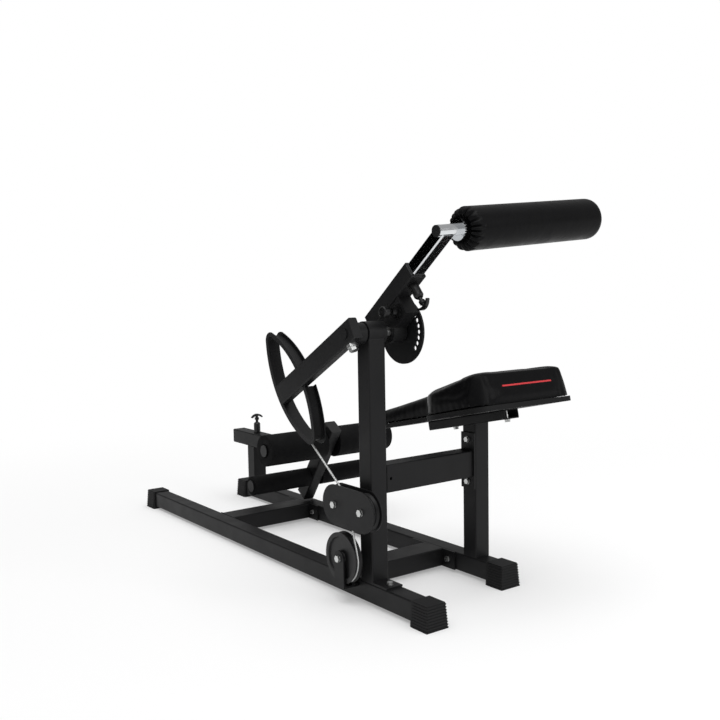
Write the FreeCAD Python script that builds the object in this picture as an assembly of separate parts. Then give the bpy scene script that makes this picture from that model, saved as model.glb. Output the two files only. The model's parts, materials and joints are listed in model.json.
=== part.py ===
"""Roman chair with a cable lever, a chest roller, a saddle seat and foam leg rollers.

Lengths are in millimetres.  While the pieces are made, X = 0 and Y = 0 is the mast's axis,
+X points to the seat's wide end, +Y to the far rail, and Z = 0 is the floor.  At the end the
whole model moves so that the origin lies on the floor, under the middle of its bounding box.
"""
import FreeCAD
import Part
import math
import os

V = FreeCAD.Vector

# ---------------------------------------------------------------- welded frame
TUBE = 50.0                 # side of the square frame tube
TUBE_WALL = 2.5
TUBE_CORNER = 4.0           # outer corner radius of every square tube
RAIL_SPACING = 343.0        # near rail axis to far rail axis
CAP_DROP = 9.0              # how far the rubber caps hold the rails off the floor
NEAR_RAIL_REAR = 1324.0     # mast axis to the near rail's rear end
NEAR_RAIL_FRONT = 229.0
FAR_RAIL_REAR = 1271.0
FAR_RAIL_FRONT = 126.0
CROSS_WIDTH = 82.0          # the cross tubes lie flat
CROSS_CORNER = 5.0
FRONT_CROSS_X = -140.0
REAR_CROSS_X = -820.0
PLATE = 5.0                 # thickness of flange and foot plates
CROSS_PLATE_LENGTH = 180.0
CROSS_BOLT_OFFSET = 62.0
CROSS_END_PLATE = 3.0       # thin welded plate at the near rail
CROSS_END_MARGIN = 4.0      # how far that plate stands past the tube at each side

# ---------------------------------------------------------------- rubber rail caps
CAP_LENGTH = 52.0
CAP_WALL = 3.0
CAP_END_WALL = 4.0
CAP_FLARE = 4.0             # extra width at the foot of a cap, each side
CAP_RIBS = 9
CAP_RIB = 1.2               # how far a rib stands out
CAP_RIB_SHARE = 0.55        # rib height over rib pitch

# ---------------------------------------------------------------- mast, beam and posts
PIVOT_HEIGHT = 680.0
BUSH_RADIUS = 29.0
BUSH_NEAR = 25.0            # bush end on the lever's side of the mast axis
BUSH_FAR = 30.0
FOOT_PLATE_LENGTH = 160.0
FOOT_BOLT_OFFSET = 62.0
BEAM_BOTTOM = 281.0
BEAM_DEPTH = 71.0
BEAM_WALL = 2.5
BEAM_HOLE_RADIUS = 4.0
BEAM_HOLE_FROM_MAST = 12.0
BEAM_PLATE_BOTTOM = 249.0
BEAM_PLATE_HEIGHT = 150.0
BEAM_BOLT_INSET = 18.0
SEAT_POST_X = 6.0
BACK_POST_X = -1178.0

# ---------------------------------------------------------------- seat
SEAT_TILT = 12.3            # degrees, wide end up
SEAT_REAR_X = 205.0         # lower rear edge of the board
SEAT_REAR_HEIGHT = 488.0
BOARD_THICKNESS = 13.0
BOARD_LIP = 3.0             # how far the board stands out under the pad
SEAT_LENGTH = 596.0
SEAT_HALF_WIDTH = 172.0
SEAT_CORNER = 34.0
SEAT_SHOULDER_START = 165.0  # where the plan begins to narrow, from the rear edge
SEAT_SHOULDER_END = 345.0
NOSE_HALF_WIDTH = 62.0
PAD_REAR_THICKNESS = 80.0
PAD_THICK_END = 235.0       # the top is level with the board up to here
PAD_RAMP_END = 420.0
PAD_NOSE_THICKNESS = 36.0
BRACKET_DEPTH = 25.0
BRACKET_WIDTH = 50.0
BRACKET_WALL = 3.0
BRACKET_START = 70.0        # from the board's rear edge
BRACKET_END = 374.0
SEAT_BOLT_PLACES = (88.0, 289.0)

# ---------------------------------------------------------------- sliding leg roller frame
SLEEVE_HEIGHT = 224.5       # axis of the sleeve and of the tube inside it
SLEEVE_REAR = -1306.0
SLEEVE_FRONT = -1050.0
SLIDE_TUBE = 40.0
SLIDE_WALL = 2.0
SLIDE_CLEARANCE = 0.3       # between a sliding tube and its liner, each side
SLIDE_TAIL = -1236.0        # rear end of the sliding tube
SLIDE_HOLE_PITCH = 50.0
SLEEVE_PIN_X = -1170.0
LEAN_TOP = (-671.0, 329.0)  # ends of the leaning bracket's axis, X and height
LEAN_FOOT = (-844.0, 79.0)
LEAN_DEPTH = 50.0
LEAN_WIDTH = 40.0
UPPER_AXLE_HEIGHT = 274.0
LOWER_AXLE_HEIGHT = 146.0
AXLE_RADIUS = 12.5
AXLE_WALL = 2.0
FOAM_UPPER_RADIUS = 50.0
FOAM_LOWER_RADIUS = 31.0
FOAM_LENGTH = 217.0
FOAM_GAP = 2.0              # between a foam roller and the bracket
FOAM_BORE_CLEARANCE = 0.3
FOAM_EDGE = 5.0
AXLE_CAP_RADIUS = 19.0
AXLE_CAP_HEIGHT = 4.0

# ---------------------------------------------------------------- lever arm and cam
ARM_FALL = 29.5             # degrees below the horizontal, toward the rear
ARM_DEPTH = 55.0
ARM_WIDTH = 25.0
ARM_WALL = 2.5
ARM_CORNER = 4.0
ARM_NEAR_Y = -80.0
ARM_TOP = 30.0              # past the pivot
ARM_BOSS_RADIUS = 27.0
ARM_BOSS_GAP = 4.0          # between the boss and the mast's bush
CAM_DISTANCE = 304.0        # pivot to the lens's middle
CAM_RADIUS = 300.0          # both limbs
CAM_HALF_THICKNESS = 68.0
CAM_TIP_RADIUS = 24.0
CAM_DEPTH = 12.0            # outer edge to the web's inner face
CAM_WALL = 3.0
CAM_WIDTH = 36.0
CAM_NEAR_Y = -74.0
CAM_CHORD_ANGLE = -52.0     # degrees, from +X
SHAFT_RADIUS = 12.5
RUNNING_CLEARANCE = 0.05    # radial, in every round running fit
LOCK_NUT = 8.0              # under the arm, on the bolt that grips the shaft
LOCK_HEAD_FLATS = 20.0      # a reduced head below that nut
SHAFT_CAP_RADIUS = 13.0     # low round cap over the shaft on the arm's open side
SHAFT_CAP = 3.0
SHAFT_WASHER_RADIUS = 21.0
SHAFT_WASHER = 2.5
SHAFT_HEAD_FLATS = 17.0
SHAFT_HEAD = 6.5
ARM_PLUG_SPIGOT = 10.0
ARM_PLUG_FACE = 3.0
MODEL_REACH = 2000.0        # past the machine on every side, for cuts right through

# ---------------------------------------------------------------- adjustment disc
DISC_RADIUS = 83.0
DISC_THICKNESS = 5.0
DISC_NEAR_Y = 97.0
DISC_HOLE_CIRCLE = 64.8
DISC_HOLE_RADIUS = 6.0
DISC_HOLE_PITCH = 13.0
DISC_FIRST_HOLE = -39.0
DISC_HOLES = 11
DISC_ENGAGED_ANGLE = 52.0   # where the plunger stands, from +X

# ---------------------------------------------------------------- carrier and its tube
CARRIER_RISE = 38.9         # degrees above +X
CARRIER_TUBE = 45.0
CARRIER_WALL = 3.0
CARRIER_NEAR_Y = 50.0
CARRIER_OFFSET = 63.5       # pivot to the tube's axis, square to it
CARRIER_START = -50.0
CARRIER_END = 160.0
PIVOT_BLOCK_WIDTH = 40.0
PIVOT_BLOCK_LOW = -8.0
PIVOT_BLOCK_END = 88.0
PIVOT_BOSS_RADIUS = 28.0
EXTENSION_TUBE = 35.0
EXTENSION_WALL = 2.0
EXTENSION_START = 6.0
EXTENSION_HOLE_PITCH = 25.0
EXTENSION_PIN_PLACE = 132.0
CHEST_AXLE_PLACE = 303.0    # along the carrier's axis, from the pivot
CHEST_AXLE_RADIUS = 14.0
CHEST_AXLE_WALL = 2.5
CHEST_AXLE_TILT = 4.5       # degrees, the far end up
CHEST_AXLE_NEAR_Y = 45.0
CHEST_FLANGE_RADIUS = 27.0
CHEST_FLANGE_Y = 108.0
CHEST_FLANGE_THICKNESS = 6.0
CHEST_ROLLER_RADIUS = 55.0
CHEST_ROLLER_NEAR_Y = 118.0
CHEST_ROLLER_LENGTH = 458.0
CHEST_ROLLER_EDGE = 16.0
CHEST_CORE_RADIUS = 21.0
CHEST_CORE_INSET = 8.0      # how far the core stops short of the pad's ends
CHEST_AXLE_END_GAP = 14.0

# ---------------------------------------------------------------- pulleys and cable
CABLE_RADIUS = 2.5
CABLE_CLEARANCE = 0.2
CABLE_Y = -56.0
GUIDE_REAR_X = -71.0
GUIDE_PITCH = 112.0
GUIDE_HEIGHT = 250.0
GUIDE_PLATE_RADIUS = 51.0
GUIDE_PLATE = 3.0
GUIDE_PULLEY_RADIUS = 45.0
PULLEY_WIDTH = 20.0
PULLEY_LIP = 2.0
PULLEY_GROOVE = 7.0
PULLEY_HUB_RADIUS = 14.0
PULLEY_RECESS = 4.0
PULLEY_RIM = 11.0
PULLEY_SIDE_GAP = 1.0
PULLEY_BOLT_RADIUS = 5.0
PULLEY_BUSH_RADIUS = 8.0
LOWER_PULLEY_X = -53.0
LOWER_PULLEY_HEIGHT = 116.0
LOWER_PULLEY_RADIUS = 65.0
STRAP_WIDTH = 40.0
STRAP = 5.0
STRAP_FOOT_HEIGHT = 42.0
CABLE_WRAP = 100.0          # degrees round the lower pulley
STANDOFF_WIDTH = 30.0
STANDOFF_DEPTH = 40.0
CABLE_LEAD = 16.0           # straight piece from the pulley's groove to the stop
CABLE_STOP_RADIUS = 3.4
CABLE_STOP_LENGTH = 12.0
ANCHOR_ANGLE = 4.0          # degrees back along the outer limb from its middle
ANCHOR_RADIUS = 3.5
ANCHOR_BLOCK_RADIUS = 9.0
ANCHOR_BLOCK = 14.0
SEAT_GAP = 0.2              # where a flat face meets a curved one

# ---------------------------------------------------------------- spring pins and bolts
PIN_RADIUS = 5.0
PIN_TRAVEL = 10.0
PIN_HOLE_CLEARANCE = 0.4
PIN_TIP_GAP = 0.5           # tip to the piece that it locks, when drawn back
BARREL_RADIUS = 12.0
BARREL_HEIGHT = 34.0
HANDLE_SPAN = 40.0
HANDLE_THICKNESS = 9.0
HANDLE_STEM = 14.0
PLUNGER_BARREL_RADIUS = 11.0
PLUNGER_COLLAR_RADIUS = 17.0
PLUNGER_COLLAR = 7.0
PLUNGER_BARREL = 14.0
PLUNGER_KNOB_RADIUS = 14.0
PLUNGER_KNOB = 18.0
BOLT_RADIUS = 4.0           # M8
BOLT_HEAD_FLATS = 13.0
BOLT_HEAD = 5.5
WASHER_RADIUS = 8.0
WASHER = 1.6
BOLT_HOLE_CLEARANCE = 0.4
LARGE_BOLT_RADIUS = 8.0     # M16
LARGE_BOLT_FLATS = 24.0
LARGE_BOLT_HEAD = 10.0

# ---------------------------------------------------------------- small details
CAP_RIB_INSET = 6.0         # the ribs' start, from the cap's open end
NOSE_ROUNDING = 0.8         # of the seat nose's half width
SEAT_BOLT_REACH = 0.7       # of the board's thickness
PAD_NOSE_FALL = 6.0         # the pad thins out by this much at its tip
BARREL_NECK = 5.0
BARREL_NECK_SHARE = 0.72    # of the barrel's radius
SPIGOT_WALL = 2.0           # round a pin, where its barrel enters a tube
LINER_LIP = 2.0
PLUG_FACE = 3.0
SLEEVE_PLUG_SPIGOT = 14.0
LEAN_PLUG_SPIGOT = 12.0
AXLE_CAP_SPIGOT = 15.0
AXLE_PLUG_SPIGOT = 12.0
KNOB_EDGE = 4.0
HANDLE_DROP = 7.0
HANDLE_CROWN = 5.0
HANDLE_TIP = 6.0
HANDLE_TIP_MID = 3.5
HANDLE_TIP_OUT = 2.5
HANDLE_BACK = 3.0
HANDLE_COLLAR = 3.0
HANDLE_BITE = 1.0           # how far the stem's collar enters the handle
CHEST_CORE_STANDOUT = 11.0  # the core past the pad, as far as the stop disc allows
CHEST_PAD_STARTER_BORE = 1.0    # closed again where the pad's far end is whole
CHEST_PAD_END_PLUG = 2.0
PULLEY_BOLT_FLATS = 16.0

# ---------------------------------------------------------------- places that follow
RAIL_AXIS_HEIGHT = CAP_DROP + TUBE / 2
RAIL_TOP = CAP_DROP + TUBE
FAR_Y = RAIL_SPACING
NEAR_FACE_OF_FAR = FAR_Y - TUBE / 2
MAST_TOP = PIVOT_HEIGHT
PIVOT = V(0, 0, PIVOT_HEIGHT)
ARM_FAR_Y = ARM_NEAR_Y + ARM_WIDTH
CARRIER_MID_Y = CARRIER_NEAR_Y + CARRIER_TUBE / 2


# ---------------------------------------------------------------- shape helpers
def block(x, y, z):
    """A box between three (low, high) pairs."""
    low = V(x[0], y[0], z[0])
    return Part.makeBox(x[1] - x[0], y[1] - y[0], z[1] - z[0], low)


def rod(radius, start, end):
    """A round bar between two points."""
    way = end - start
    return Part.makeCylinder(radius, way.Length, start, way)


def rod_y(radius, x, z, y0, y1):
    """A round bar along Y."""
    return rod(radius, V(x, y0, z), V(x, y1, z))


def ring_y(outer, inner, x, z, y0, y1):
    """A round tube along Y."""
    return rod_y(outer, x, z, y0, y1).cut(rod_y(inner, x, z, y0, y1))


def line(start, end):
    return Part.LineSegment(start, end).toShape()


def arc(start, middle, end):
    return Part.Arc(start, middle, end).toShape()


def face_of(edges):
    return Part.Face(Part.Wire(edges))


def rounded_section(width, height, corner):
    """A rounded rectangle in the YZ plane, centred on the X axis."""
    half_w = width / 2
    half_h = height / 2
    cut = corner * (1 - math.sqrt(0.5))
    corners = [(1, -1), (1, 1), (-1, 1), (-1, -1)]
    edges = []
    ends = []
    for index, (side, up) in enumerate(corners):
        flat_y = V(0, side * half_w, up * (half_h - corner))
        flat_z = V(0, side * (half_w - corner), up * half_h)
        middle = V(0, side * (half_w - cut), up * (half_h - cut))
        first, last = (flat_z, flat_y) if index % 2 == 0 else (flat_y, flat_z)
        edges.append(arc(first, middle, last))
        ends.append((first, last))
    for index in range(4):
        edges.append(line(ends[index][1], ends[(index + 1) % 4][0]))
    ordered = Part.__sortEdges__(edges)
    return face_of(ordered)


def bar(length, width, height, corner):
    """A solid rounded bar along +X from the origin."""
    return rounded_section(width, height, corner).extrude(V(length, 0, 0))


def tube(length, width, height, wall, corner):
    """A hollow rounded tube along +X from the origin."""
    outer = bar(length, width, height, corner)
    inner = bar(length, width - 2 * wall, height - 2 * wall, max(corner - wall, 0.8))
    return outer.cut(inner)


def placed(shape, origin, turns=()):
    """A copy of shape, turned about the origin's axes in order, then moved to origin."""
    result = shape.copy()
    for axis, degrees in turns:
        result.rotate(V(0, 0, 0), axis, degrees)
    result.translate(origin)
    return result


def along_x(shape, x, y, z):
    return placed(shape, V(x, y, z))


def along_y(shape, x, y, z):
    return placed(shape, V(x, y, z), [(V(0, 0, 1), 90)])


def along_z(shape, x, y, z):
    return placed(shape, V(x, y, z), [(V(0, 1, 0), -90)])


def raised(shape, origin, degrees):
    """Turn a shape made along +X so that it climbs by degrees, and put it at origin."""
    return placed(shape, origin, [(V(0, 1, 0), -degrees)])


def joined(first, *others):
    return first.fuse(list(others)).removeSplitter()


def cut_all(shape, tools):
    return shape.cut(list(tools)) if tools else shape


def group(shapes):
    """Separate solids in one node."""
    solids = []
    for shape in shapes:
        solids.extend(shape.Solids)
    return Part.makeCompound(solids)


def hexagon(flats, height):
    """A hexagonal prism up from the origin."""
    radius = flats / math.sqrt(3)
    turn = math.pi / 3
    points = [V(radius * math.cos(turn * k), radius * math.sin(turn * k), 0) for k in range(7)]
    return Part.Face(Part.makePolygon(points)).extrude(V(0, 0, height))


def towards(shape, start, way):
    """Turn a shape made up +Z to point along way, with its origin at start."""
    result = shape.copy()
    result.Placement = FreeCAD.Placement(start, FreeCAD.Rotation(V(0, 0, 1), way))
    return result


def through_bolt(start, end):
    """A bolt whose head sits at start, with its nut and both washers, as one solid."""
    grip = (end - start).Length
    head = hexagon(BOLT_HEAD_FLATS, BOLT_HEAD)
    head.translate(V(0, 0, -WASHER - BOLT_HEAD))
    nut = hexagon(BOLT_HEAD_FLATS, BOLT_HEAD)
    nut.translate(V(0, 0, grip + WASHER))
    washer = Part.makeCylinder(WASHER_RADIUS, WASHER, V(0, 0, -WASHER))
    far_washer = Part.makeCylinder(WASHER_RADIUS, WASHER, V(0, 0, grip))
    overrun = WASHER + BOLT_HEAD + BOLT_RADIUS / 2
    shank = Part.makeCylinder(BOLT_RADIUS, grip + WASHER + overrun, V(0, 0, -WASHER))
    return towards(joined(shank, washer, head, far_washer, nut), start, end - start)


def bolt_hole(start, end):
    """The clearance hole of a through bolt."""
    return rod(BOLT_RADIUS + BOLT_HOLE_CLEARANCE, start, end)


# ---------------------------------------------------------------- frame pieces
def rail(rear, front, y):
    body = tube(rear + front, TUBE, TUBE, TUBE_WALL, TUBE_CORNER)
    return along_x(body, -rear, y, RAIL_AXIS_HEIGHT)


def cross_bolts():
    """Start and end of each bolt that holds a cross tube's flange to the far rail."""
    places = []
    for x in (FRONT_CROSS_X, REAR_CROSS_X):
        for side in (-1, 1):
            bolt_x = x + side * CROSS_BOLT_OFFSET
            start = V(bolt_x, NEAR_FACE_OF_FAR - PLATE, RAIL_AXIS_HEIGHT)
            end = V(bolt_x, FAR_Y + TUBE / 2, RAIL_AXIS_HEIGHT)
            places.append((start, end))
    return places


def foot_bolts():
    """Start and end of the upright bolts through the mast's foot plate and its rail."""
    places = []
    for side in (-1, 1):
        start = V(side * FOOT_BOLT_OFFSET, 0, RAIL_TOP + PLATE)
        end = V(side * FOOT_BOLT_OFFSET, 0, RAIL_TOP - TUBE)
        places.append((start, end))
    return places


def beam_bolts():
    """Start and end of the bolts through the beam's flange and the seat post."""
    places = []
    top = BEAM_PLATE_BOTTOM + BEAM_PLATE_HEIGHT
    for z in (BEAM_PLATE_BOTTOM + BEAM_BOLT_INSET, top - BEAM_BOLT_INSET):
        start = V(SEAT_POST_X, NEAR_FACE_OF_FAR - PLATE, z)
        end = V(SEAT_POST_X, FAR_Y + TUBE / 2, z)
        places.append((start, end))
    return places


def holes(places):
    return [bolt_hole(start, end) for start, end in places]


def near_rail():
    return cut_all(rail(NEAR_RAIL_REAR, NEAR_RAIL_FRONT, 0), holes(foot_bolts()))


def far_rail():
    return cut_all(rail(FAR_RAIL_REAR, FAR_RAIL_FRONT, FAR_Y), holes(cross_bolts()))


def rail_cap(end_x, y, outward):
    """A ribbed rubber cap over a rail's end; outward is -1 or +1 along X."""
    top_half = TUBE / 2 + CAP_WALL
    foot_half = top_half + CAP_FLARE
    top_z = RAIL_TOP + CAP_WALL
    length = CAP_LENGTH + CAP_END_WALL

    def layer(half, z):
        """One closed outline of the cap at height z, from the end wall inward."""
        spread = half - top_half
        near = V(spread + CAP_END_WALL, -half, z)
        far = V(spread + CAP_END_WALL, half, z)
        points = [near, far, V(-CAP_LENGTH, half, z), V(-CAP_LENGTH, -half, z), near]
        return Part.makePolygon(points)

    shell = Part.makeLoft([layer(foot_half, 0), layer(top_half, top_z)], True)
    pitch = top_z / CAP_RIBS
    rib_height = pitch * CAP_RIB_SHARE
    ribs = []
    for index in range(CAP_RIBS):
        z = index * pitch
        share = z / top_z
        half = foot_half + (top_half - foot_half) * share + CAP_RIB
        reach = CAP_END_WALL + half - top_half
        low = max(z, 0)
        ribs.append(block((-CAP_LENGTH + CAP_RIB_INSET, reach), (-half, half), (low, low + rib_height)))
    body = joined(shell, *ribs)
    socket = bar(length, TUBE, TUBE, TUBE_CORNER)
    socket.translate(V(-length, 0, RAIL_AXIS_HEIGHT))
    body = body.cut(socket)
    if outward < 0:
        body.rotate(V(0, 0, 0), V(0, 0, 1), 180)
    body.translate(V(end_x, y, 0))
    return body


def crossmember(x):
    """A flat tube between the rails, with a thin plate at one end and a flange at the other."""
    near = TUBE / 2
    far = NEAR_FACE_OF_FAR
    body = along_y(tube(far - near, CROSS_WIDTH, TUBE, TUBE_WALL, CROSS_CORNER),
                   x, near, RAIL_AXIS_HEIGHT)
    half = CROSS_WIDTH / 2 + CROSS_END_MARGIN
    end_plate = block((x - half, x + half), (near, near + CROSS_END_PLATE), (CAP_DROP, RAIL_TOP))
    half = CROSS_PLATE_LENGTH / 2
    flange = block((x - half, x + half), (far - PLATE, far), (CAP_DROP, RAIL_TOP))
    return cut_all(joined(body, end_plate, flange), holes(cross_bolts()))


def mast():
    """The upright with its foot plate; its top is saddled round the pivot bush."""
    bottom = RAIL_TOP + PLATE
    upright = along_z(tube(MAST_TOP - bottom, TUBE, TUBE, TUBE_WALL, TUBE_CORNER), 0, 0, bottom)
    half = FOOT_PLATE_LENGTH / 2
    foot = block((-half, half), (-TUBE / 2, TUBE / 2), (RAIL_TOP, bottom))
    saddle = rod_y(BUSH_RADIUS, 0, PIVOT_HEIGHT, -BUSH_NEAR - 1, BUSH_FAR + 1)
    return cut_all(joined(upright, foot).cut(saddle), holes(foot_bolts()))


def pivot_bush():
    bore = SHAFT_RADIUS + RUNNING_CLEARANCE
    return ring_y(BUSH_RADIUS, bore, 0, PIVOT_HEIGHT, -BUSH_NEAR, BUSH_FAR)


def beam():
    """The cross beam from the mast to the seat post, with its bolted flange."""
    start = TUBE / 2
    end = NEAR_FACE_OF_FAR
    z = BEAM_BOTTOM + BEAM_DEPTH / 2
    body = along_y(tube(end - start, TUBE, BEAM_DEPTH, BEAM_WALL, TUBE_CORNER), 0, start, z)
    flange = block((SEAT_POST_X - TUBE / 2, SEAT_POST_X + TUBE / 2), (end - PLATE, end),
                   (BEAM_PLATE_BOTTOM, BEAM_PLATE_BOTTOM + BEAM_PLATE_HEIGHT))
    hole_y = start + BEAM_HOLE_FROM_MAST
    side = V(TUBE, hole_y, z)
    side_hole = rod(BEAM_HOLE_RADIUS, side, V(0, hole_y, z))
    return cut_all(joined(body, flange), holes(beam_bolts()) + [side_hole])


# ---------------------------------------------------------------- seat
def seat_place(shape):
    """Put a seat piece, made with +X from the nose up to the rear edge, on the tilted board."""
    return raised(shape, V(SEAT_REAR_X, FAR_Y, SEAT_REAR_HEIGHT), SEAT_TILT)


def seat_outline(inset, z):
    """The plan of the seat: a wide rear, S-shaped shoulders and a round nose."""
    half = SEAT_HALF_WIDTH - inset
    nose = NOSE_HALF_WIDTH - inset
    corner = SEAT_CORNER
    rear = -inset
    tip = -SEAT_LENGTH + inset
    start = -SEAT_SHOULDER_START
    end = -SEAT_SHOULDER_END
    middle = (start + end) / 2
    waist = (half + nose) / 2
    diagonal = corner * (1 - math.sqrt(0.5))
    nose_corner = nose * NOSE_ROUNDING
    nose_cut = nose_corner * (1 - math.sqrt(0.5))
    run = start - middle
    drop = half - waist
    radius = (run * run + drop * drop) / (2 * drop)
    quarter = math.asin(run / radius) / 2
    edges = []
    for side in (-1, 1):
        def at(x, y):
            return V(x, side * y, z)
        edges.append(line(at(rear, 0), at(rear, half - corner)))
        edges.append(arc(at(rear, half - corner), at(rear - diagonal, half - diagonal),
                         at(rear - corner, half)))
        edges.append(line(at(rear - corner, half), at(start, half)))
        edges.append(arc(at(start, half),
                         at(start - radius * math.sin(quarter),
                            half - radius * (1 - math.cos(quarter))),
                         at(middle, waist)))
        edges.append(arc(at(middle, waist),
                         at(end + radius * math.sin(quarter),
                            nose + radius * (1 - math.cos(quarter))),
                         at(end, nose)))
        edges.append(line(at(end, nose), at(tip + nose_corner, nose)))
        edges.append(arc(at(tip + nose_corner, nose), at(tip + nose_cut, nose - nose_cut),
                         at(tip, nose - nose_corner)))
        edges.append(line(at(tip, nose - nose_corner), at(tip, 0)))
    return face_of(Part.__sortEdges__(edges))


def seat_bolts():
    """Start and end of the bolts up through the bracket into the board."""
    places = []
    for place in SEAT_BOLT_PLACES:
        places.append((V(-place, 0, -BRACKET_DEPTH), V(-place, 0, BOARD_THICKNESS * SEAT_BOLT_REACH)))
    return places


def seat_board():
    board = seat_outline(0, 0).extrude(V(0, 0, BOARD_THICKNESS))
    sockets = [rod(BOLT_RADIUS, start, end) for start, end in seat_bolts()]
    return seat_place(cut_all(board, sockets))


def seat_pad():
    """Closed soft solid: the seat's plan, cut by its side profile."""
    low = BOARD_THICKNESS
    thick = low + PAD_REAR_THICKNESS
    nose = low + PAD_NOSE_THICKNESS
    plan = seat_outline(BOARD_LIP, low).extrude(V(0, 0, PAD_REAR_THICKNESS))
    side = SEAT_HALF_WIDTH
    front = -SEAT_LENGTH
    profile = [V(0, -side, low), V(0, -side, thick), V(-PAD_THICK_END, -side, thick),
               V(-PAD_RAMP_END, -side, nose), V(front, -side, nose - PAD_NOSE_FALL), V(front, -side, low)]
    profile.append(profile[0])
    wedge = Part.Face(Part.makePolygon(profile)).extrude(V(0, 2 * side, 0))
    return seat_place(plan.common(wedge))


def seat_bracket():
    length = BRACKET_END - BRACKET_START
    channel = tube(length, BRACKET_WIDTH, BRACKET_DEPTH, BRACKET_WALL, BRACKET_WALL)
    channel.translate(V(-BRACKET_END, 0, -BRACKET_DEPTH / 2))
    return seat_place(cut_all(channel, holes(seat_bolts())))


def seat_bolt_set():
    """Bolts up through the bracket, with their threads in the board."""
    bolts = []
    for start, end in seat_bolts():
        shank = rod(BOLT_RADIUS, start, end)
        washer = rod(WASHER_RADIUS, V(start.x, 0, start.z - WASHER), start)
        head = hexagon(BOLT_HEAD_FLATS, BOLT_HEAD)
        head.translate(V(start.x, 0, start.z - WASHER - BOLT_HEAD))
        bolts.append(seat_place(joined(shank, washer, head)))
    return group(bolts)


def seat_post():
    """The upright under the seat, mitred to the tilted bracket."""
    top = SEAT_REAR_HEIGHT
    post = along_z(tube(top - RAIL_TOP, TUBE, TUBE, TUBE_WALL, TUBE_CORNER),
                   SEAT_POST_X, FAR_Y, RAIL_TOP)
    above = block((-2 * SEAT_LENGTH, SEAT_LENGTH), (-TUBE, TUBE), (-BRACKET_DEPTH, SEAT_LENGTH))
    return cut_all(post.cut(seat_place(above)), holes(beam_bolts()))


# ---------------------------------------------------------------- spring pins
def pin_barrel(depth):
    """The fixed body of a pull pin: up from the tube's face, with a spigot of depth into it."""
    barrel = Part.makeCylinder(BARREL_RADIUS, BARREL_HEIGHT)
    neck = Part.makeCone(BARREL_RADIUS, BARREL_RADIUS * BARREL_NECK_SHARE, BARREL_NECK,
                         V(0, 0, BARREL_HEIGHT))
    spigot = Part.makeCylinder(PIN_RADIUS + SPIGOT_WALL, depth, V(0, 0, -depth))
    bore = Part.makeCylinder(PIN_RADIUS + RUNNING_CLEARANCE, BARREL_HEIGHT + BARREL_NECK + depth,
                             V(0, 0, -depth))
    return joined(barrel, neck, spigot).cut(bore)


def pull_pin(tip):
    """The moving pin with its crescent handle, drawn back; its tip is at -tip."""
    base = BARREL_HEIGHT + BARREL_NECK + PIN_TRAVEL
    stem_top = base + HANDLE_STEM
    shaft = Part.makeCylinder(PIN_RADIUS, stem_top + tip, V(0, 0, -tip))
    half = HANDLE_SPAN / 2
    drop = HANDLE_DROP
    bottom = stem_top - drop
    y = -HANDLE_THICKNESS / 2
    crown = HANDLE_CROWN
    edges = [arc(V(-half, y, bottom), V(0, y, bottom + drop), V(half, y, bottom)),
             arc(V(half, y, bottom), V(half + HANDLE_TIP_OUT, y, bottom + HANDLE_TIP_MID),
                 V(half, y, bottom + HANDLE_TIP)),
             arc(V(half, y, bottom + HANDLE_TIP), V(0, y, stem_top + crown + HANDLE_BACK),
                 V(-half, y, bottom + HANDLE_TIP)),
             arc(V(-half, y, bottom + HANDLE_TIP), V(-half - HANDLE_TIP_OUT, y, bottom + HANDLE_TIP_MID),
                 V(-half, y, bottom))]
    handle = face_of(edges).extrude(V(0, HANDLE_THICKNESS, 0))
    collar = Part.makeCylinder(PIN_RADIUS + HANDLE_COLLAR, HANDLE_STEM - drop + HANDLE_BITE,
                               V(0, 0, base))
    return joined(shaft, collar, handle)


# ---------------------------------------------------------------- leg roller frame
def back_post():
    bottom = RAIL_TOP
    top = SLEEVE_HEIGHT - TUBE / 2
    return along_z(tube(top - bottom, TUBE, TUBE, TUBE_WALL, TUBE_CORNER),
                   BACK_POST_X, FAR_Y, bottom)


SLEEVE_INSIDE = TUBE - 2 * TUBE_WALL
SLEEVE_SPIGOT = TUBE_WALL


def sleeve_pin_hole(radius, depth):
    top = SLEEVE_HEIGHT + TUBE / 2
    return rod(radius, V(SLEEVE_PIN_X, FAR_Y, top - depth), V(SLEEVE_PIN_X, FAR_Y, top + 1))


def back_sleeve():
    body = along_x(tube(SLEEVE_FRONT - SLEEVE_REAR, TUBE, TUBE, TUBE_WALL, TUBE_CORNER),
                   SLEEVE_REAR, FAR_Y, SLEEVE_HEIGHT)
    return body.cut(sleeve_pin_hole(PIN_RADIUS + SPIGOT_WALL, TUBE_WALL))


def sleeve_liner():
    """Plastic liner that the sliding tube runs in."""
    inside = SLIDE_TUBE + 2 * SLIDE_CLEARANCE
    wall = (SLEEVE_INSIDE - inside) / 2
    length = SLEEVE_FRONT - SLEEVE_REAR - CAP_LENGTH / 2
    body = tube(length, SLEEVE_INSIDE, SLEEVE_INSIDE, wall, TUBE_CORNER - TUBE_WALL)
    body = along_x(body, SLEEVE_FRONT - length, FAR_Y, SLEEVE_HEIGHT)
    lip = tube(LINER_LIP, TUBE, TUBE, (TUBE - inside) / 2, TUBE_CORNER)
    lip = along_x(lip, SLEEVE_FRONT, FAR_Y, SLEEVE_HEIGHT)
    hole = sleeve_pin_hole(PIN_RADIUS + RUNNING_CLEARANCE, TUBE_WALL + wall + 1)
    return joined(body, lip).cut(hole)


def sleeve_plug():
    """Plastic plug in the sleeve's rear end."""
    inside = SLEEVE_INSIDE
    spigot = bar(SLEEVE_PLUG_SPIGOT, inside, inside, TUBE_CORNER - TUBE_WALL)
    face = bar(PLUG_FACE, TUBE, TUBE, TUBE_CORNER)
    return joined(along_x(spigot, SLEEVE_REAR, FAR_Y, SLEEVE_HEIGHT),
                  along_x(face, SLEEVE_REAR - PLUG_FACE, FAR_Y, SLEEVE_HEIGHT))


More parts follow.
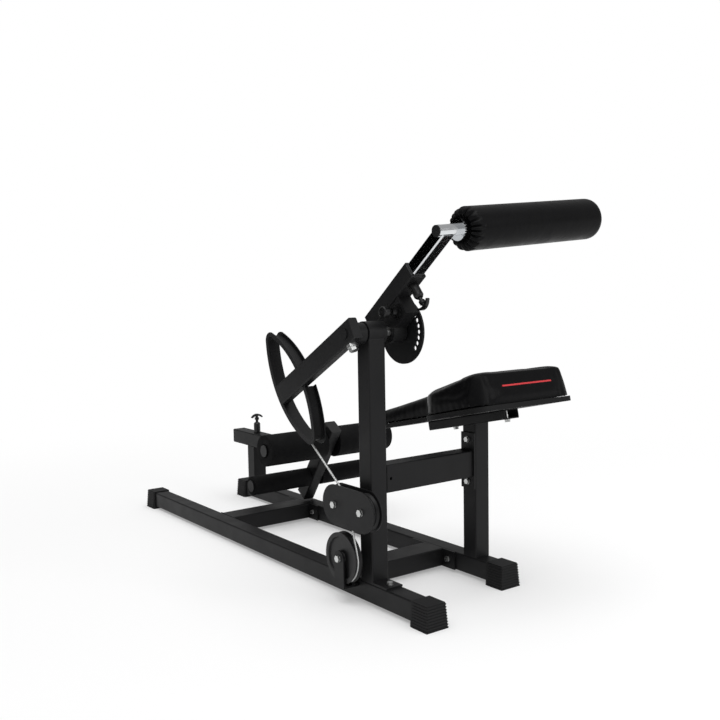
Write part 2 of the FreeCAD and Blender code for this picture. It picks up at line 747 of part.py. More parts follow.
def sleeve_pin_barrel():
    return placed(pin_barrel(SLEEVE_SPIGOT), V(SLEEVE_PIN_X, FAR_Y, SLEEVE_HEIGHT + TUBE / 2))


def sleeve_pin():
    to_tube = (TUBE - SLIDE_TUBE) / 2
    return placed(pull_pin(to_tube - PIN_TIP_GAP),
                  V(SLEEVE_PIN_X, FAR_Y, SLEEVE_HEIGHT + TUBE / 2), [(V(0, 0, 1), 90)])


LEAN_DIRECTION = V(LEAN_TOP[0] - LEAN_FOOT[0], 0, LEAN_TOP[1] - LEAN_FOOT[1])
LEAN_ANGLE = math.degrees(math.atan2(LEAN_DIRECTION.z, LEAN_DIRECTION.x))


def lean_x(height):
    """X on the leaning bracket's axis at a height."""
    share = (height - LEAN_FOOT[1]) / LEAN_DIRECTION.z
    return LEAN_FOOT[0] + share * LEAN_DIRECTION.x


def lean_solid(length, width, depth, corner, start):
    """A solid bar along the leaning bracket's axis, from a distance above its foot."""
    body = bar(length, width, depth, corner)
    body.translate(V(start, 0, 0))
    return raised(body, V(LEAN_FOOT[0], FAR_Y, LEAN_FOOT[1]), LEAN_ANGLE)


UPPER_AXLE = V(lean_x(UPPER_AXLE_HEIGHT), 0, UPPER_AXLE_HEIGHT)
LOWER_AXLE = V(lean_x(LOWER_AXLE_HEIGHT), 0, LOWER_AXLE_HEIGHT)


def roller_bracket():
    """The leaning bracket that carries both foam roller axles."""
    body = tube(LEAN_DIRECTION.Length, LEAN_WIDTH, LEAN_DEPTH, TUBE_WALL, TUBE_CORNER)
    body = raised(body, V(LEAN_FOOT[0], FAR_Y, LEAN_FOOT[1]), LEAN_ANGLE)
    bores = []
    for axle in (UPPER_AXLE, LOWER_AXLE):
        bores.append(rod_y(AXLE_RADIUS, axle.x, axle.z, FAR_Y - TUBE, FAR_Y + TUBE))
    return cut_all(body, bores)


def roller_bracket_plugs():
    length = LEAN_DIRECTION.Length
    plugs = []
    inside_w = LEAN_WIDTH - 2 * TUBE_WALL
    inside_d = LEAN_DEPTH - 2 * TUBE_WALL
    corner = TUBE_CORNER - TUBE_WALL
    for start, face_start in ((0.0, -PLUG_FACE), (length - LEAN_PLUG_SPIGOT, length)):
        spigot = lean_solid(LEAN_PLUG_SPIGOT, inside_w, inside_d, corner, start)
        face = lean_solid(PLUG_FACE, LEAN_WIDTH, LEAN_DEPTH, TUBE_CORNER, face_start)
        plugs.append(joined(spigot, face))
    return group(plugs)


def slide_tube():
    """The square tube that slides in the sleeve and ends on the leaning bracket."""
    end = lean_x(SLEEVE_HEIGHT)
    body = along_x(tube(end - SLIDE_TAIL, SLIDE_TUBE, SLIDE_TUBE, SLIDE_WALL, TUBE_CORNER),
                   SLIDE_TAIL, FAR_Y, SLEEVE_HEIGHT)
    length = LEAN_DIRECTION.Length
    keep_out = lean_solid(length, 2 * LEAN_WIDTH, LEAN_DEPTH, TUBE_CORNER, 0)
    body = body.cut(keep_out)
    body = max(body.Solids, key=lambda solid: solid.Volume)
    pin_holes = []
    for step in (-1, 0, 1):
        x = SLEEVE_PIN_X + step * SLIDE_HOLE_PITCH
        low = V(x, FAR_Y, SLEEVE_HEIGHT)
        pin_holes.append(rod(PIN_RADIUS + PIN_HOLE_CLEARANCE, low, V(x, FAR_Y, SLEEVE_HEIGHT + TUBE)))
    return cut_all(body, pin_holes)


FOAM_NEAR_END = FAR_Y - LEAN_WIDTH / 2 - FOAM_GAP
FOAM_FAR_START = FAR_Y + LEAN_WIDTH / 2 + FOAM_GAP


def foam_axle(axle):
    """A round tube through the bracket that both foam halves turn on."""
    start = FOAM_NEAR_END - FOAM_LENGTH
    end = FOAM_FAR_START + FOAM_LENGTH
    return ring_y(AXLE_RADIUS, AXLE_RADIUS - AXLE_WALL, axle.x, axle.z, start, end)


def axle_caps(axle):
    """Flanged plastic caps that keep the foam on an axle."""
    caps = []
    start = FOAM_NEAR_END - FOAM_LENGTH
    end = FOAM_FAR_START + FOAM_LENGTH
    for face, outward in ((start, -1), (end, 1)):
        y0, y1 = sorted((face, face + outward * AXLE_CAP_HEIGHT))
        flange = rod_y(AXLE_CAP_RADIUS, axle.x, axle.z, y0, y1)
        y0, y1 = sorted((face, face - outward * AXLE_CAP_SPIGOT))
        spigot = rod_y(AXLE_RADIUS - AXLE_WALL, axle.x, axle.z, y0, y1)
        caps.append(joined(flange, spigot))
    return group(caps)


def soft_roller(outer, inner, axle, y0, y1, edge):
    """A padded roller with rounded ends, bored for its axle."""
    body = rod_y(outer, axle.x, axle.z, y0, y1)
    rims = [e for e in body.Edges if len(e.Vertexes) == 1]
    body = body.makeFillet(edge, rims)
    return body.cut(rod_y(inner, axle.x, axle.z, y0 - 1, y1 + 1))


def foam_roller(axle, radius, far):
    bore = AXLE_RADIUS + FOAM_BORE_CLEARANCE
    start = FOAM_FAR_START if far else FOAM_NEAR_END - FOAM_LENGTH + FOAM_GAP / 4
    end = FOAM_FAR_START + FOAM_LENGTH - FOAM_GAP / 4 if far else FOAM_NEAR_END
    return soft_roller(radius, bore, axle, start, end, FOAM_EDGE)


# ---------------------------------------------------------------- lever arm and cam
ARM_WAY = V(-math.cos(math.radians(ARM_FALL)), 0, -math.sin(math.radians(ARM_FALL)))
CAM_CENTRE = PIVOT + ARM_WAY * CAM_DISTANCE
CHORD = V(math.cos(math.radians(CAM_CHORD_ANGLE)), 0, math.sin(math.radians(CAM_CHORD_ANGLE)))
BULGE = V(-CHORD.z, 0, CHORD.x)     # from the outer limb to the bow
CAM_MID_Y = CAM_NEAR_Y + CAM_WIDTH / 2
CAM_CORE = CAM_RADIUS - CAM_HALF_THICKNESS   # limb centre to the chord
TIP_PLACE = math.sqrt((CAM_RADIUS - CAM_TIP_RADIUS) ** 2 - CAM_CORE ** 2)


def cam_point(along, across, y):
    point = CAM_CENTRE + CHORD * along + BULGE * across
    return V(point.x, y, point.z)


def cam_face(inset, y):
    """The lens's outline, drawn inset from its outer edge: two limbs and two round tips."""
    limb = CAM_RADIUS - inset
    tip = CAM_TIP_RADIUS - inset
    spread = math.atan2(TIP_PLACE, CAM_CORE)
    reach = TIP_PLACE + tip

    def limb_point(side, angle):
        return cam_point(limb * math.sin(angle), side * (limb * math.cos(angle) - CAM_CORE), y)

    edges = []
    for side in (-1, 1):
        edges.append(arc(limb_point(side, -spread), limb_point(side, 0),
                         limb_point(side, spread)))
    for end in (-1, 1):
        edges.append(arc(limb_point(-1, end * spread), cam_point(end * reach, 0, y),
                         limb_point(1, end * spread)))
    return face_of(Part.__sortEdges__(edges))


def cam_prism(inset, y0, y1):
    return cam_face(inset, y0).extrude(V(0, y1 - y0, 0))


def arm_space(depth, start, end, y0, y1):
    """A box along the arm's axis, between distances from the pivot."""
    body = block((start, end), (y0, y1), (-depth / 2, depth / 2))
    return raised(body, PIVOT, 180 + ARM_FALL)


def cam_ring():
    """A lens bent from channel, with its flanges outward; the arm passes through its bow."""
    far_y = CAM_NEAR_Y + CAM_WIDTH
    body = cam_prism(0, CAM_NEAR_Y, far_y).cut(cam_prism(CAM_DEPTH, CAM_NEAR_Y, far_y))
    groove_near = CAM_NEAR_Y + CAM_WALL
    groove_far = far_y - CAM_WALL
    groove = cam_prism(-1, groove_near, groove_far)
    groove = groove.cut(cam_prism(CAM_DEPTH - CAM_WALL, groove_near, groove_far))
    body = body.cut(groove)
    gap = arm_space(ARM_DEPTH, 0, CAM_DISTANCE, CAM_NEAR_Y - 1, far_y + 1)
    return body.cut(gap).cut(anchor_rod(ANCHOR_RADIUS))


def lever_arm():
    """The rectangular arm; its lower end follows the cam's outer limb."""
    reach = CAM_DISTANCE + CAM_HALF_THICKNESS
    body = tube(ARM_TOP + reach, ARM_WIDTH, ARM_DEPTH, ARM_WALL, ARM_CORNER)
    body.translate(V(-ARM_TOP, 0, 0))
    body.rotate(V(0, 0, 0), V(0, 1, 0), -(180 + ARM_FALL))
    body.translate(V(0, ARM_NEAR_Y + ARM_WIDTH / 2, PIVOT_HEIGHT))
    beyond = arm_space(4 * ARM_DEPTH, CAM_DISTANCE, 2 * CAM_DISTANCE, -MODEL_REACH,
                       MODEL_REACH)
    beyond = beyond.cut(cam_prism(CAM_DEPTH, -2 * MODEL_REACH, 2 * MODEL_REACH))
    body = body.cut(beyond)
    shaft_hole = rod_y(SHAFT_RADIUS, 0, PIVOT_HEIGHT, -MODEL_REACH, MODEL_REACH)
    cap = rod_y(SHAFT_CAP_RADIUS, 0, PIVOT_HEIGHT, ARM_NEAR_Y - SHAFT_CAP, ARM_NEAR_Y)
    body = joined(joined(body.cut(shaft_hole), arm_boss()), cap)
    return body.cut(lock_bolt_rod(LARGE_BOLT_RADIUS))


def arm_plug():
    """Plastic plug in the arm's upper end."""
    spigot = bar(ARM_PLUG_SPIGOT, ARM_WIDTH - 2 * ARM_WALL, ARM_DEPTH - 2 * ARM_WALL,
                 ARM_CORNER - ARM_WALL)
    face = bar(ARM_PLUG_FACE, ARM_WIDTH, ARM_DEPTH, ARM_CORNER)
    face.translate(V(ARM_PLUG_SPIGOT, 0, 0))
    plug = joined(spigot, face)
    plug.translate(V(ARM_TOP - ARM_PLUG_SPIGOT, 0, 0))
    return raised(plug, PIVOT + V(0, ARM_NEAR_Y + ARM_WIDTH / 2, 0), ARM_FALL)


def arm_boss():
    """Spacer welded between the arm and the mast's bush."""
    return ring_y(ARM_BOSS_RADIUS, SHAFT_RADIUS, 0, PIVOT_HEIGHT, ARM_FAR_Y,
                  -BUSH_NEAR - ARM_BOSS_GAP)


def lock_bolt_rod(radius):
    """The grip bolt's space, square to the arm, from under it up to the shaft."""
    y = ARM_NEAR_Y + ARM_WIDTH / 2
    space = Part.makeCylinder(radius, ARM_DEPTH / 2 - SHAFT_RADIUS, V(0, 0, SHAFT_RADIUS))
    return raised(space, PIVOT + V(0, y, 0), 180 + ARM_FALL)


def lock_bolt():
    """The large hex bolt that grips the shaft from under the arm, with its lock nut."""
    y = ARM_NEAR_Y + ARM_WIDTH / 2
    below = ARM_DEPTH / 2
    shank = Part.makeCylinder(LARGE_BOLT_RADIUS, below + LOCK_NUT - SHAFT_RADIUS,
                              V(0, 0, SHAFT_RADIUS))
    nut = hexagon(LARGE_BOLT_FLATS, LOCK_NUT)
    nut.translate(V(0, 0, below))
    head = hexagon(LOCK_HEAD_FLATS, LARGE_BOLT_HEAD)
    head.translate(V(0, 0, below + LOCK_NUT))
    return raised(joined(joined(shank, nut), head), PIVOT + V(0, y, 0), 180 + ARM_FALL)


def pivot_shaft():
    """The shaft that joins the arm to the disc, through the mast's bush."""
    end = DISC_NEAR_Y + DISC_THICKNESS
    return rod_y(SHAFT_RADIUS, 0, PIVOT_HEIGHT, ARM_NEAR_Y, end)


def shaft_washers():
    """The washer and hex screw on the shaft's far end, outside the disc."""
    washer = Part.makeCylinder(SHAFT_WASHER_RADIUS, SHAFT_WASHER)
    head = hexagon(SHAFT_HEAD_FLATS, SHAFT_HEAD)
    head.translate(V(0, 0, SHAFT_WASHER))
    end = V(0, DISC_NEAR_Y + DISC_THICKNESS, PIVOT_HEIGHT)
    return towards(joined(washer, head), end, V(0, 1, 0))


def adjustment_disc():
    """A plate with a fan of holes that the plunger drops into."""
    y1 = DISC_NEAR_Y + DISC_THICKNESS
    disc = ring_y(DISC_RADIUS, SHAFT_RADIUS, 0, PIVOT_HEIGHT, DISC_NEAR_Y, y1)
    fan = []
    for index in range(DISC_HOLES):
        angle = math.radians(DISC_FIRST_HOLE + index * DISC_HOLE_PITCH)
        x = DISC_HOLE_CIRCLE * math.cos(angle)
        z = PIVOT_HEIGHT + DISC_HOLE_CIRCLE * math.sin(angle)
        fan.append(rod_y(DISC_HOLE_RADIUS, x, z, DISC_NEAR_Y, y1))
    return disc.cut(fan)


def anchor_place(inset):
    """A point on the outer limb at the cable's anchor, inset from the outer edge."""
    angle = -math.radians(ANCHOR_ANGLE)
    limb = CAM_RADIUS - inset
    return cam_point(limb * math.sin(angle), CAM_CORE - limb * math.cos(angle), CAM_MID_Y)


def anchor_rod(radius):
    way = anchor_place(0) - anchor_place(CAM_DEPTH)
    return rod(radius, anchor_place(CAM_DEPTH) - way * 0.6, anchor_place(0) + way * 0.4)


def anchor_bolt():
    """The screw in the cam's web that clamps the cable's end."""
    web = CAM_DEPTH - CAM_WALL
    way = anchor_place(0) - anchor_place(CAM_DEPTH)
    way.normalize()
    outer = anchor_place(web) + way * SEAT_GAP
    clamp = towards(Part.makeCylinder(ANCHOR_BLOCK_RADIUS, ANCHOR_BLOCK), outer, way)
    head = towards(hexagon(BOLT_HEAD_FLATS, BOLT_HEAD), outer + way * ANCHOR_BLOCK, way)
    core = rod(ANCHOR_RADIUS, anchor_place(CAM_DEPTH), outer)
    return joined(core, clamp, head)


# ---------------------------------------------------------------- carrier and extension
CARRIER_WAY = V(math.cos(math.radians(CARRIER_RISE)), 0, math.sin(math.radians(CARRIER_RISE)))
CARRIER_OUT = V(-CARRIER_WAY.z, 0, CARRIER_WAY.x)


def carrier_point(along, offset, y):
    point = PIVOT + CARRIER_WAY * along + CARRIER_OUT * offset
    return V(point.x, y, point.z)


def on_carrier(shape):
    """Put a shape made along +X with its axis through the pivot at the carrier's slope."""
    return raised(shape, PIVOT, CARRIER_RISE)


def carrier_pin_place():
    """Where the extension's pull pin stands on the carrier's lower face."""
    return carrier_point(EXTENSION_PIN_PLACE, CARRIER_OFFSET - CARRIER_TUBE / 2, CARRIER_MID_Y)


def carrier_pin_hole(radius):
    face = carrier_pin_place()
    return rod(radius, face - CARRIER_OUT, face + CARRIER_OUT * (CARRIER_TUBE / 2))


def carrier_tube():
    body = tube(CARRIER_END - CARRIER_START, CARRIER_TUBE, CARRIER_TUBE, CARRIER_WALL,
                TUBE_CORNER)
    body.translate(V(CARRIER_START, CARRIER_MID_Y, CARRIER_OFFSET))
    return on_carrier(body).cut(carrier_pin_hole(PIN_RADIUS + SPIGOT_WALL))


def carrier_liner():
    """Plastic liner that the extension tube runs in."""
    inside = EXTENSION_TUBE + 2 * SLIDE_CLEARANCE
    outside = CARRIER_TUBE - 2 * CARRIER_WALL
    wall = (outside - inside) / 2
    body = tube(CARRIER_END - CARRIER_START, outside, outside, wall, TUBE_CORNER - CARRIER_WALL)
    body.translate(V(CARRIER_START, CARRIER_MID_Y, CARRIER_OFFSET))
    lip = tube(LINER_LIP, CARRIER_TUBE, CARRIER_TUBE, (CARRIER_TUBE - inside) / 2, TUBE_CORNER)
    lip.translate(V(CARRIER_END, CARRIER_MID_Y, CARRIER_OFFSET))
    return on_carrier(joined(body, lip)).cut(carrier_pin_hole(PIN_RADIUS + RUNNING_CLEARANCE))


def pivot_block():
    """The block that swings on the shaft and carries the carrier tube and the plunger."""
    y0 = CARRIER_MID_Y - PIVOT_BLOCK_WIDTH / 2
    y1 = CARRIER_MID_Y + PIVOT_BLOCK_WIDTH / 2
    top = CARRIER_OFFSET - CARRIER_TUBE / 2
    body = block((-PIVOT_BOSS_RADIUS, PIVOT_BLOCK_END), (y0, y1), (PIVOT_BLOCK_LOW, top))
    boss = Part.makeCylinder(PIVOT_BOSS_RADIUS, y1 - y0, V(0, y0, 0), V(0, 1, 0))
    body = on_carrier(joined(body, boss))
    bore = rod_y(SHAFT_RADIUS + RUNNING_CLEARANCE, 0, PIVOT_HEIGHT, y0 - 1, y1 + 1)
    place = plunger_place()
    plunger_bore = rod_y(PIN_RADIUS + RUNNING_CLEARANCE, place.x, place.z, y0 - 1, y1 + 1)
    return body.cut(bore).cut(plunger_bore)


def plunger_place():
    angle = math.radians(DISC_ENGAGED_ANGLE)
    return PIVOT + V(math.cos(angle), 0, math.sin(angle)) * DISC_HOLE_CIRCLE


def plunger_barrel():
    """The fixed collar and barrel of the angle plunger, on the pivot block's near face."""
    place = plunger_place()
    face = CARRIER_MID_Y - PIVOT_BLOCK_WIDTH / 2
    bore = PIN_RADIUS + RUNNING_CLEARANCE
    collar = ring_y(PLUNGER_COLLAR_RADIUS, bore, place.x, place.z, face - PLUNGER_COLLAR, face)
    end = face - PLUNGER_COLLAR
    barrel = ring_y(PLUNGER_BARREL_RADIUS, bore, place.x, place.z, end - PLUNGER_BARREL, end)
    return joined(collar, barrel)


def angle_plunger():
    """The pin that locks the carrier to the disc, with its round knob, drawn back."""
    place = plunger_place()
    face = CARRIER_MID_Y - PIVOT_BLOCK_WIDTH / 2
    knob_start = face - PLUNGER_COLLAR - PLUNGER_BARREL - PIN_TRAVEL
    pin = rod_y(PIN_RADIUS, place.x, place.z, knob_start, DISC_NEAR_Y - PIN_TIP_GAP)
    knob = rod_y(PLUNGER_KNOB_RADIUS, place.x, place.z, knob_start - PLUNGER_KNOB, knob_start)
    rims = [e for e in knob.Edges if len(e.Vertexes) == 1]
    knob = knob.makeFillet(KNOB_EDGE, rims)
    return joined(pin, knob)


def carrier_turns():
    """Turns a pin made up +Z to point square out of the carrier's lower face."""
    return [(V(0, 1, 0), 180 - CARRIER_RISE)]


def carrier_pin_barrel():
    return placed(pin_barrel(CARRIER_WALL), carrier_pin_place(), carrier_turns())


def carrier_pin():
    to_tube = (CARRIER_TUBE - EXTENSION_TUBE) / 2
    return placed(pull_pin(to_tube - PIN_TIP_GAP), carrier_pin_place(), carrier_turns())


CHEST_AXLE = carrier_point(CHEST_AXLE_PLACE, CARRIER_OFFSET, 0)
CHEST_AXLE_WAY = V(0, math.cos(math.radians(CHEST_AXLE_TILT)),
                   math.sin(math.radians(CHEST_AXLE_TILT)))


def on_chest_axle(shape):
    """Tilt a shape made along Y, about the middle of the extension's top."""
    turned = shape.copy()
    turned.rotate(V(CHEST_AXLE.x, CARRIER_MID_Y, CHEST_AXLE.z), V(1, 0, 0), CHEST_AXLE_TILT)
    return turned


def extension_tube():
    """The bright square tube; its top is saddled to the chest roller's axle."""
    body = tube(CHEST_AXLE_PLACE - EXTENSION_START, EXTENSION_TUBE, EXTENSION_TUBE,
                EXTENSION_WALL, TUBE_CORNER)
    body.translate(V(EXTENSION_START, CARRIER_MID_Y, CARRIER_OFFSET))
    body = on_carrier(body)
    saddle = rod_y(CHEST_AXLE_RADIUS, CHEST_AXLE.x, CHEST_AXLE.z, 0, MODEL_REACH)
    body = body.cut(on_chest_axle(saddle))
    pin_holes = []
    for step in range(-1, 4):
        along = EXTENSION_PIN_PLACE - step * EXTENSION_HOLE_PITCH
        low = carrier_point(along, 0, CARRIER_MID_Y)
        pin_holes.append(rod(PIN_RADIUS + PIN_HOLE_CLEARANCE, low,
                             carrier_point(along, CARRIER_OFFSET, CARRIER_MID_Y)))
    return body.cut(pin_holes)


def chest_axle():
    """Round tube across the extension's top, on through the chest roller."""
    end = CHEST_ROLLER_NEAR_Y + CHEST_ROLLER_LENGTH - CHEST_AXLE_END_GAP
    pipe = ring_y(CHEST_AXLE_RADIUS, CHEST_AXLE_RADIUS - CHEST_AXLE_WALL, CHEST_AXLE.x,
                  CHEST_AXLE.z, CHEST_AXLE_NEAR_Y, end)
    return on_chest_axle(pipe)


def chest_axle_plug():
    inside = CHEST_AXLE_RADIUS - CHEST_AXLE_WALL
    y = CHEST_AXLE_NEAR_Y
    spigot = rod_y(inside, CHEST_AXLE.x, CHEST_AXLE.z, y, y + AXLE_PLUG_SPIGOT)
    face = rod_y(CHEST_AXLE_RADIUS, CHEST_AXLE.x, CHEST_AXLE.z, y - PLUG_FACE, y)
    return on_chest_axle(joined(spigot, face))


def chest_flange():
    """The bright stop disc that the chest roller turns against."""
    y = CHEST_FLANGE_Y
    disc = ring_y(CHEST_FLANGE_RADIUS, CHEST_AXLE_RADIUS, CHEST_AXLE.x, CHEST_AXLE.z, y,
                  y + CHEST_FLANGE_THICKNESS)
    return on_chest_axle(disc)


def chest_core():
    """Plastic pipe in the chest roller, running on the axle."""
    y0 = CHEST_ROLLER_NEAR_Y + CHEST_CORE_INSET - CHEST_CORE_STANDOUT
    y1 = CHEST_ROLLER_NEAR_Y + CHEST_ROLLER_LENGTH - CHEST_CORE_INSET
    bore = CHEST_AXLE_RADIUS + RUNNING_CLEARANCE
    return on_chest_axle(ring_y(CHEST_CORE_RADIUS, bore, CHEST_AXLE.x, CHEST_AXLE.z, y0, y1))


def chest_pad():
    y0 = CHEST_ROLLER_NEAR_Y
    y1 = y0 + CHEST_ROLLER_LENGTH
    body = soft_roller(CHEST_ROLLER_RADIUS, CHEST_PAD_STARTER_BORE, CHEST_AXLE, y0, y1, CHEST_ROLLER_EDGE)
    core_end = y1 - CHEST_CORE_INSET
    end_plug = rod_y(CHEST_PAD_END_PLUG, CHEST_AXLE.x, CHEST_AXLE.z, core_end, y1)
    body = joined(body, end_plug)
    body = body.cut(rod_y(CHEST_CORE_RADIUS, CHEST_AXLE.x, CHEST_AXLE.z, y0 - 1, core_end))
    return on_chest_axle(body)


# ---------------------------------------------------------------- pulleys
GUIDE_X = (GUIDE_REAR_X, GUIDE_REAR_X + GUIDE_PITCH)
PULLEY_NEAR_Y = CABLE_Y - PULLEY_WIDTH / 2
PULLEY_FAR_Y = CABLE_Y + PULLEY_WIDTH / 2
GUIDE_PLATE_NEAR = PULLEY_NEAR_Y - PULLEY_SIDE_GAP - GUIDE_PLATE
GUIDE_PLATE_FAR = PULLEY_FAR_Y + PULLEY_SIDE_GAP


def pulley(radius, x, z):
    """A grooved wheel with a hub, recessed sides and a round-bottomed groove."""
    half = PULLEY_WIDTH / 2
    bore = PULLEY_BUSH_RADIUS + RUNNING_CLEARANCE
    floor = radius - PULLEY_GROOVE
    round_half = CABLE_RADIUS + CABLE_CLEARANCE
    lip = half - PULLEY_LIP
    hub = PULLEY_HUB_RADIUS
    rim = radius - PULLEY_RIM
    inner = half - PULLEY_RECESS

    def at(r, y):
        return V(r, y, 0)

    points = [at(floor + round_half, round_half), at(radius, lip), at(radius, half),
              at(rim, half), at(rim - 2, inner), at(hub + 2, inner), at(hub, half),
              at(bore, half), at(bore, -half), at(hub, -half), at(hub + 2, -inner),
              at(rim - 2, -inner), at(rim, -half), at(radius, -half), at(radius, -lip),
              at(floor + round_half, -round_half)]
    edges = [line(points[k], points[k + 1]) for k in range(len(points) - 1)]
    edges.append(arc(points[-1], at(floor, 0), points[0]))
    wheel = face_of(edges).revolve(V(0, 0, 0), V(0, 1, 0), 360)
    wheel.translate(V(x, CABLE_Y, z))
    return wheel


def pulley_bushes():
    """Plain bushes that the pulleys turn on."""
    bushes = []
    places = [(x, GUIDE_HEIGHT) for x in GUIDE_X] + [(LOWER_PULLEY_X, LOWER_PULLEY_HEIGHT)]
    for x, z in places:
        bushes.append(ring_y(PULLEY_BUSH_RADIUS, PULLEY_BOLT_RADIUS, x, z,
                             PULLEY_NEAR_Y - PULLEY_SIDE_GAP, PULLEY_FAR_Y + PULLEY_SIDE_GAP))
    return group(bushes)


def guide_plate(y):
    """A stadium-shaped side plate."""
    x0, x1 = GUIDE_X
    z = GUIDE_HEIGHT
    radius = GUIDE_PLATE_RADIUS
    edges = [line(V(x0, y, z + radius), V(x1, y, z + radius)),
             arc(V(x1, y, z + radius), V(x1 + radius, y, z), V(x1, y, z - radius)),
             line(V(x1, y, z - radius), V(x0, y, z - radius)),
             arc(V(x0, y, z - radius), V(x0 - radius, y, z), V(x0, y, z + radius))]
    plate = face_of(edges).extrude(V(0, GUIDE_PLATE, 0))
    return plate.cut([rod_y(PULLEY_BOLT_RADIUS, x, z, y, y + GUIDE_PLATE) for x in GUIDE_X])


def guide_standoff():
    """The spacer tube welded between the guide's inner plate and the mast."""
    start = GUIDE_PLATE_FAR + GUIDE_PLATE
    return along_y(tube(-TUBE / 2 - start, STANDOFF_WIDTH, STANDOFF_DEPTH, TUBE_WALL, TUBE_CORNER),
                   0, start, GUIDE_HEIGHT)


def axle_bolt(x, z, y0, y1):
    """A pulley's bolt and nut between two faces, as one solid."""
    start = V(x, y0, z)
    end = V(x, y1, z)
    shank = rod(PULLEY_BOLT_RADIUS, start, end)
    head = towards(joined(Part.makeCylinder(WASHER_RADIUS + 1, WASHER),
                          hexagon(PULLEY_BOLT_FLATS, BOLT_HEAD + WASHER)), start, V(0, -1, 0))
    nut = towards(hexagon(PULLEY_BOLT_FLATS, BOLT_HEAD + WASHER), end, V(0, 1, 0))
    return joined(shank, head, nut)


def guide_bolts():
    y1 = GUIDE_PLATE_FAR + GUIDE_PLATE
    return group([axle_bolt(x, GUIDE_HEIGHT, GUIDE_PLATE_NEAR, y1) for x in GUIDE_X])


STRAP_NEAR_Y = PULLEY_NEAR_Y - PULLEY_SIDE_GAP - STRAP
STRAP_FAR_Y = PULLEY_FAR_Y + PULLEY_SIDE_GAP


def lower_pulley_bracket():
    """A strap bent to a U round the lower pulley and welded to the rail's side."""
    half = STRAP_WIDTH / 2
    x = LOWER_PULLEY_X
    z = LOWER_PULLEY_HEIGHT
    foot = STRAP_FOOT_HEIGHT
    legs = []
    for y in (STRAP_NEAR_Y, STRAP_FAR_Y):
        edges = [line(V(x - half, y, foot), V(x - half, y, z)),
                 arc(V(x - half, y, z), V(x, y, z + half), V(x + half, y, z)),
                 line(V(x + half, y, z), V(x + half, y, foot)),
                 line(V(x + half, y, foot), V(x - half, y, foot))]
        legs.append(face_of(edges).extrude(V(0, STRAP, 0)))
    web = block((x - half, x + half), (STRAP_NEAR_Y, -TUBE / 2), (foot, foot + STRAP))
    body = joined(web, *legs)
    return body.cut(rod_y(PULLEY_BOLT_RADIUS, x, z, STRAP_NEAR_Y - 1, STRAP_FAR_Y + STRAP + 1))


def lower_bolt():
    return axle_bolt(LOWER_PULLEY_X, LOWER_PULLEY_HEIGHT, STRAP_NEAR_Y, STRAP_FAR_Y + STRAP)


# ---------------------------------------------------------------- cable
REAR_GUIDE = V(GUIDE_X[0], 0, GUIDE_HEIGHT)
LOWER_PULLEY = V(LOWER_PULLEY_X, 0, LOWER_PULLEY_HEIGHT)
LIMB_CENTRE = CAM_CENTRE + BULGE * CAM_CORE
CABLE_ON_CAM = CAM_RADIUS - (CAM_DEPTH - CAM_WALL) + CABLE_RADIUS + CABLE_CLEARANCE
CABLE_ON_GUIDE = GUIDE_PULLEY_RADIUS - PULLEY_GROOVE + CABLE_RADIUS + CABLE_CLEARANCE
CABLE_ON_LOWER = LOWER_PULLEY_RADIUS - PULLEY_GROOVE + CABLE_RADIUS + CABLE_CLEARANCE


def polar(centre, radius, angle):
    return V(centre.x + radius * math.cos(angle), CABLE_Y, centre.z + radius * math.sin(angle))


def crossed_tangent():
    """Angle of the normal, from the cable to the cam's limb centre, of the cable's free run."""
    way = LIMB_CENTRE - REAR_GUIDE
    spread = math.acos((CABLE_ON_CAM + CABLE_ON_GUIDE) / way.Length)
    return math.atan2(way.z, way.x) - spread


def outer_tangent():
    """Angle of the normal of the run between the guide pulley and the lower pulley."""
    way = LOWER_PULLEY - REAR_GUIDE
    spread = math.acos((CABLE_ON_GUIDE - CABLE_ON_LOWER) / way.Length)
    return math.atan2(way.z, way.x) + spread


def cable_sweep(edges):
    """The cable's round section swept along edges, with its volume checked."""
    path = Part.Wire(edges)
    start = path.Edges[0].valueAt(path.Edges[0].FirstParameter)
    way = path.Edges[0].tangentAt(path.Edges[0].FirstParameter)
    circle = Part.Wire([Part.makeCircle(CABLE_RADIUS, start, way)])
    body = path.makePipeShell([circle], True, False)
    expected = math.pi * CABLE_RADIUS ** 2 * path.Length
    print("cable piece: length %.1f, volume over section times length %.4f"
          % (path.Length, body.Volume / expected))
    return body


def cam_cable():
    """The cable that lies in the outer limb's groove, from the anchor on."""
    leave = crossed_tangent() + math.pi
    limb_angle = math.atan2(-BULGE.z, -BULGE.x)
    anchor = limb_angle - math.radians(ANCHOR_ANGLE)
    clear = (ANCHOR_BLOCK_RADIUS + SEAT_GAP) / CABLE_ON_CAM
    start = anchor + clear
    leave = start + (leave - start) % (2 * math.pi)
    points = [polar(LIMB_CENTRE, CABLE_ON_CAM, start + (leave - start) * share)
              for share in (0, 0.5, 1)]
    return cable_sweep([arc(*points)])


def cable_end():
    """Where the cable leaves the lower pulley, where it meets its stop, and its way there."""
    angle = outer_tangent() - math.radians(CABLE_WRAP)
    leave = polar(LOWER_PULLEY, CABLE_ON_LOWER, angle)
    way = V(math.sin(angle), 0, -math.cos(angle))
    return leave, leave + way * CABLE_LEAD, way


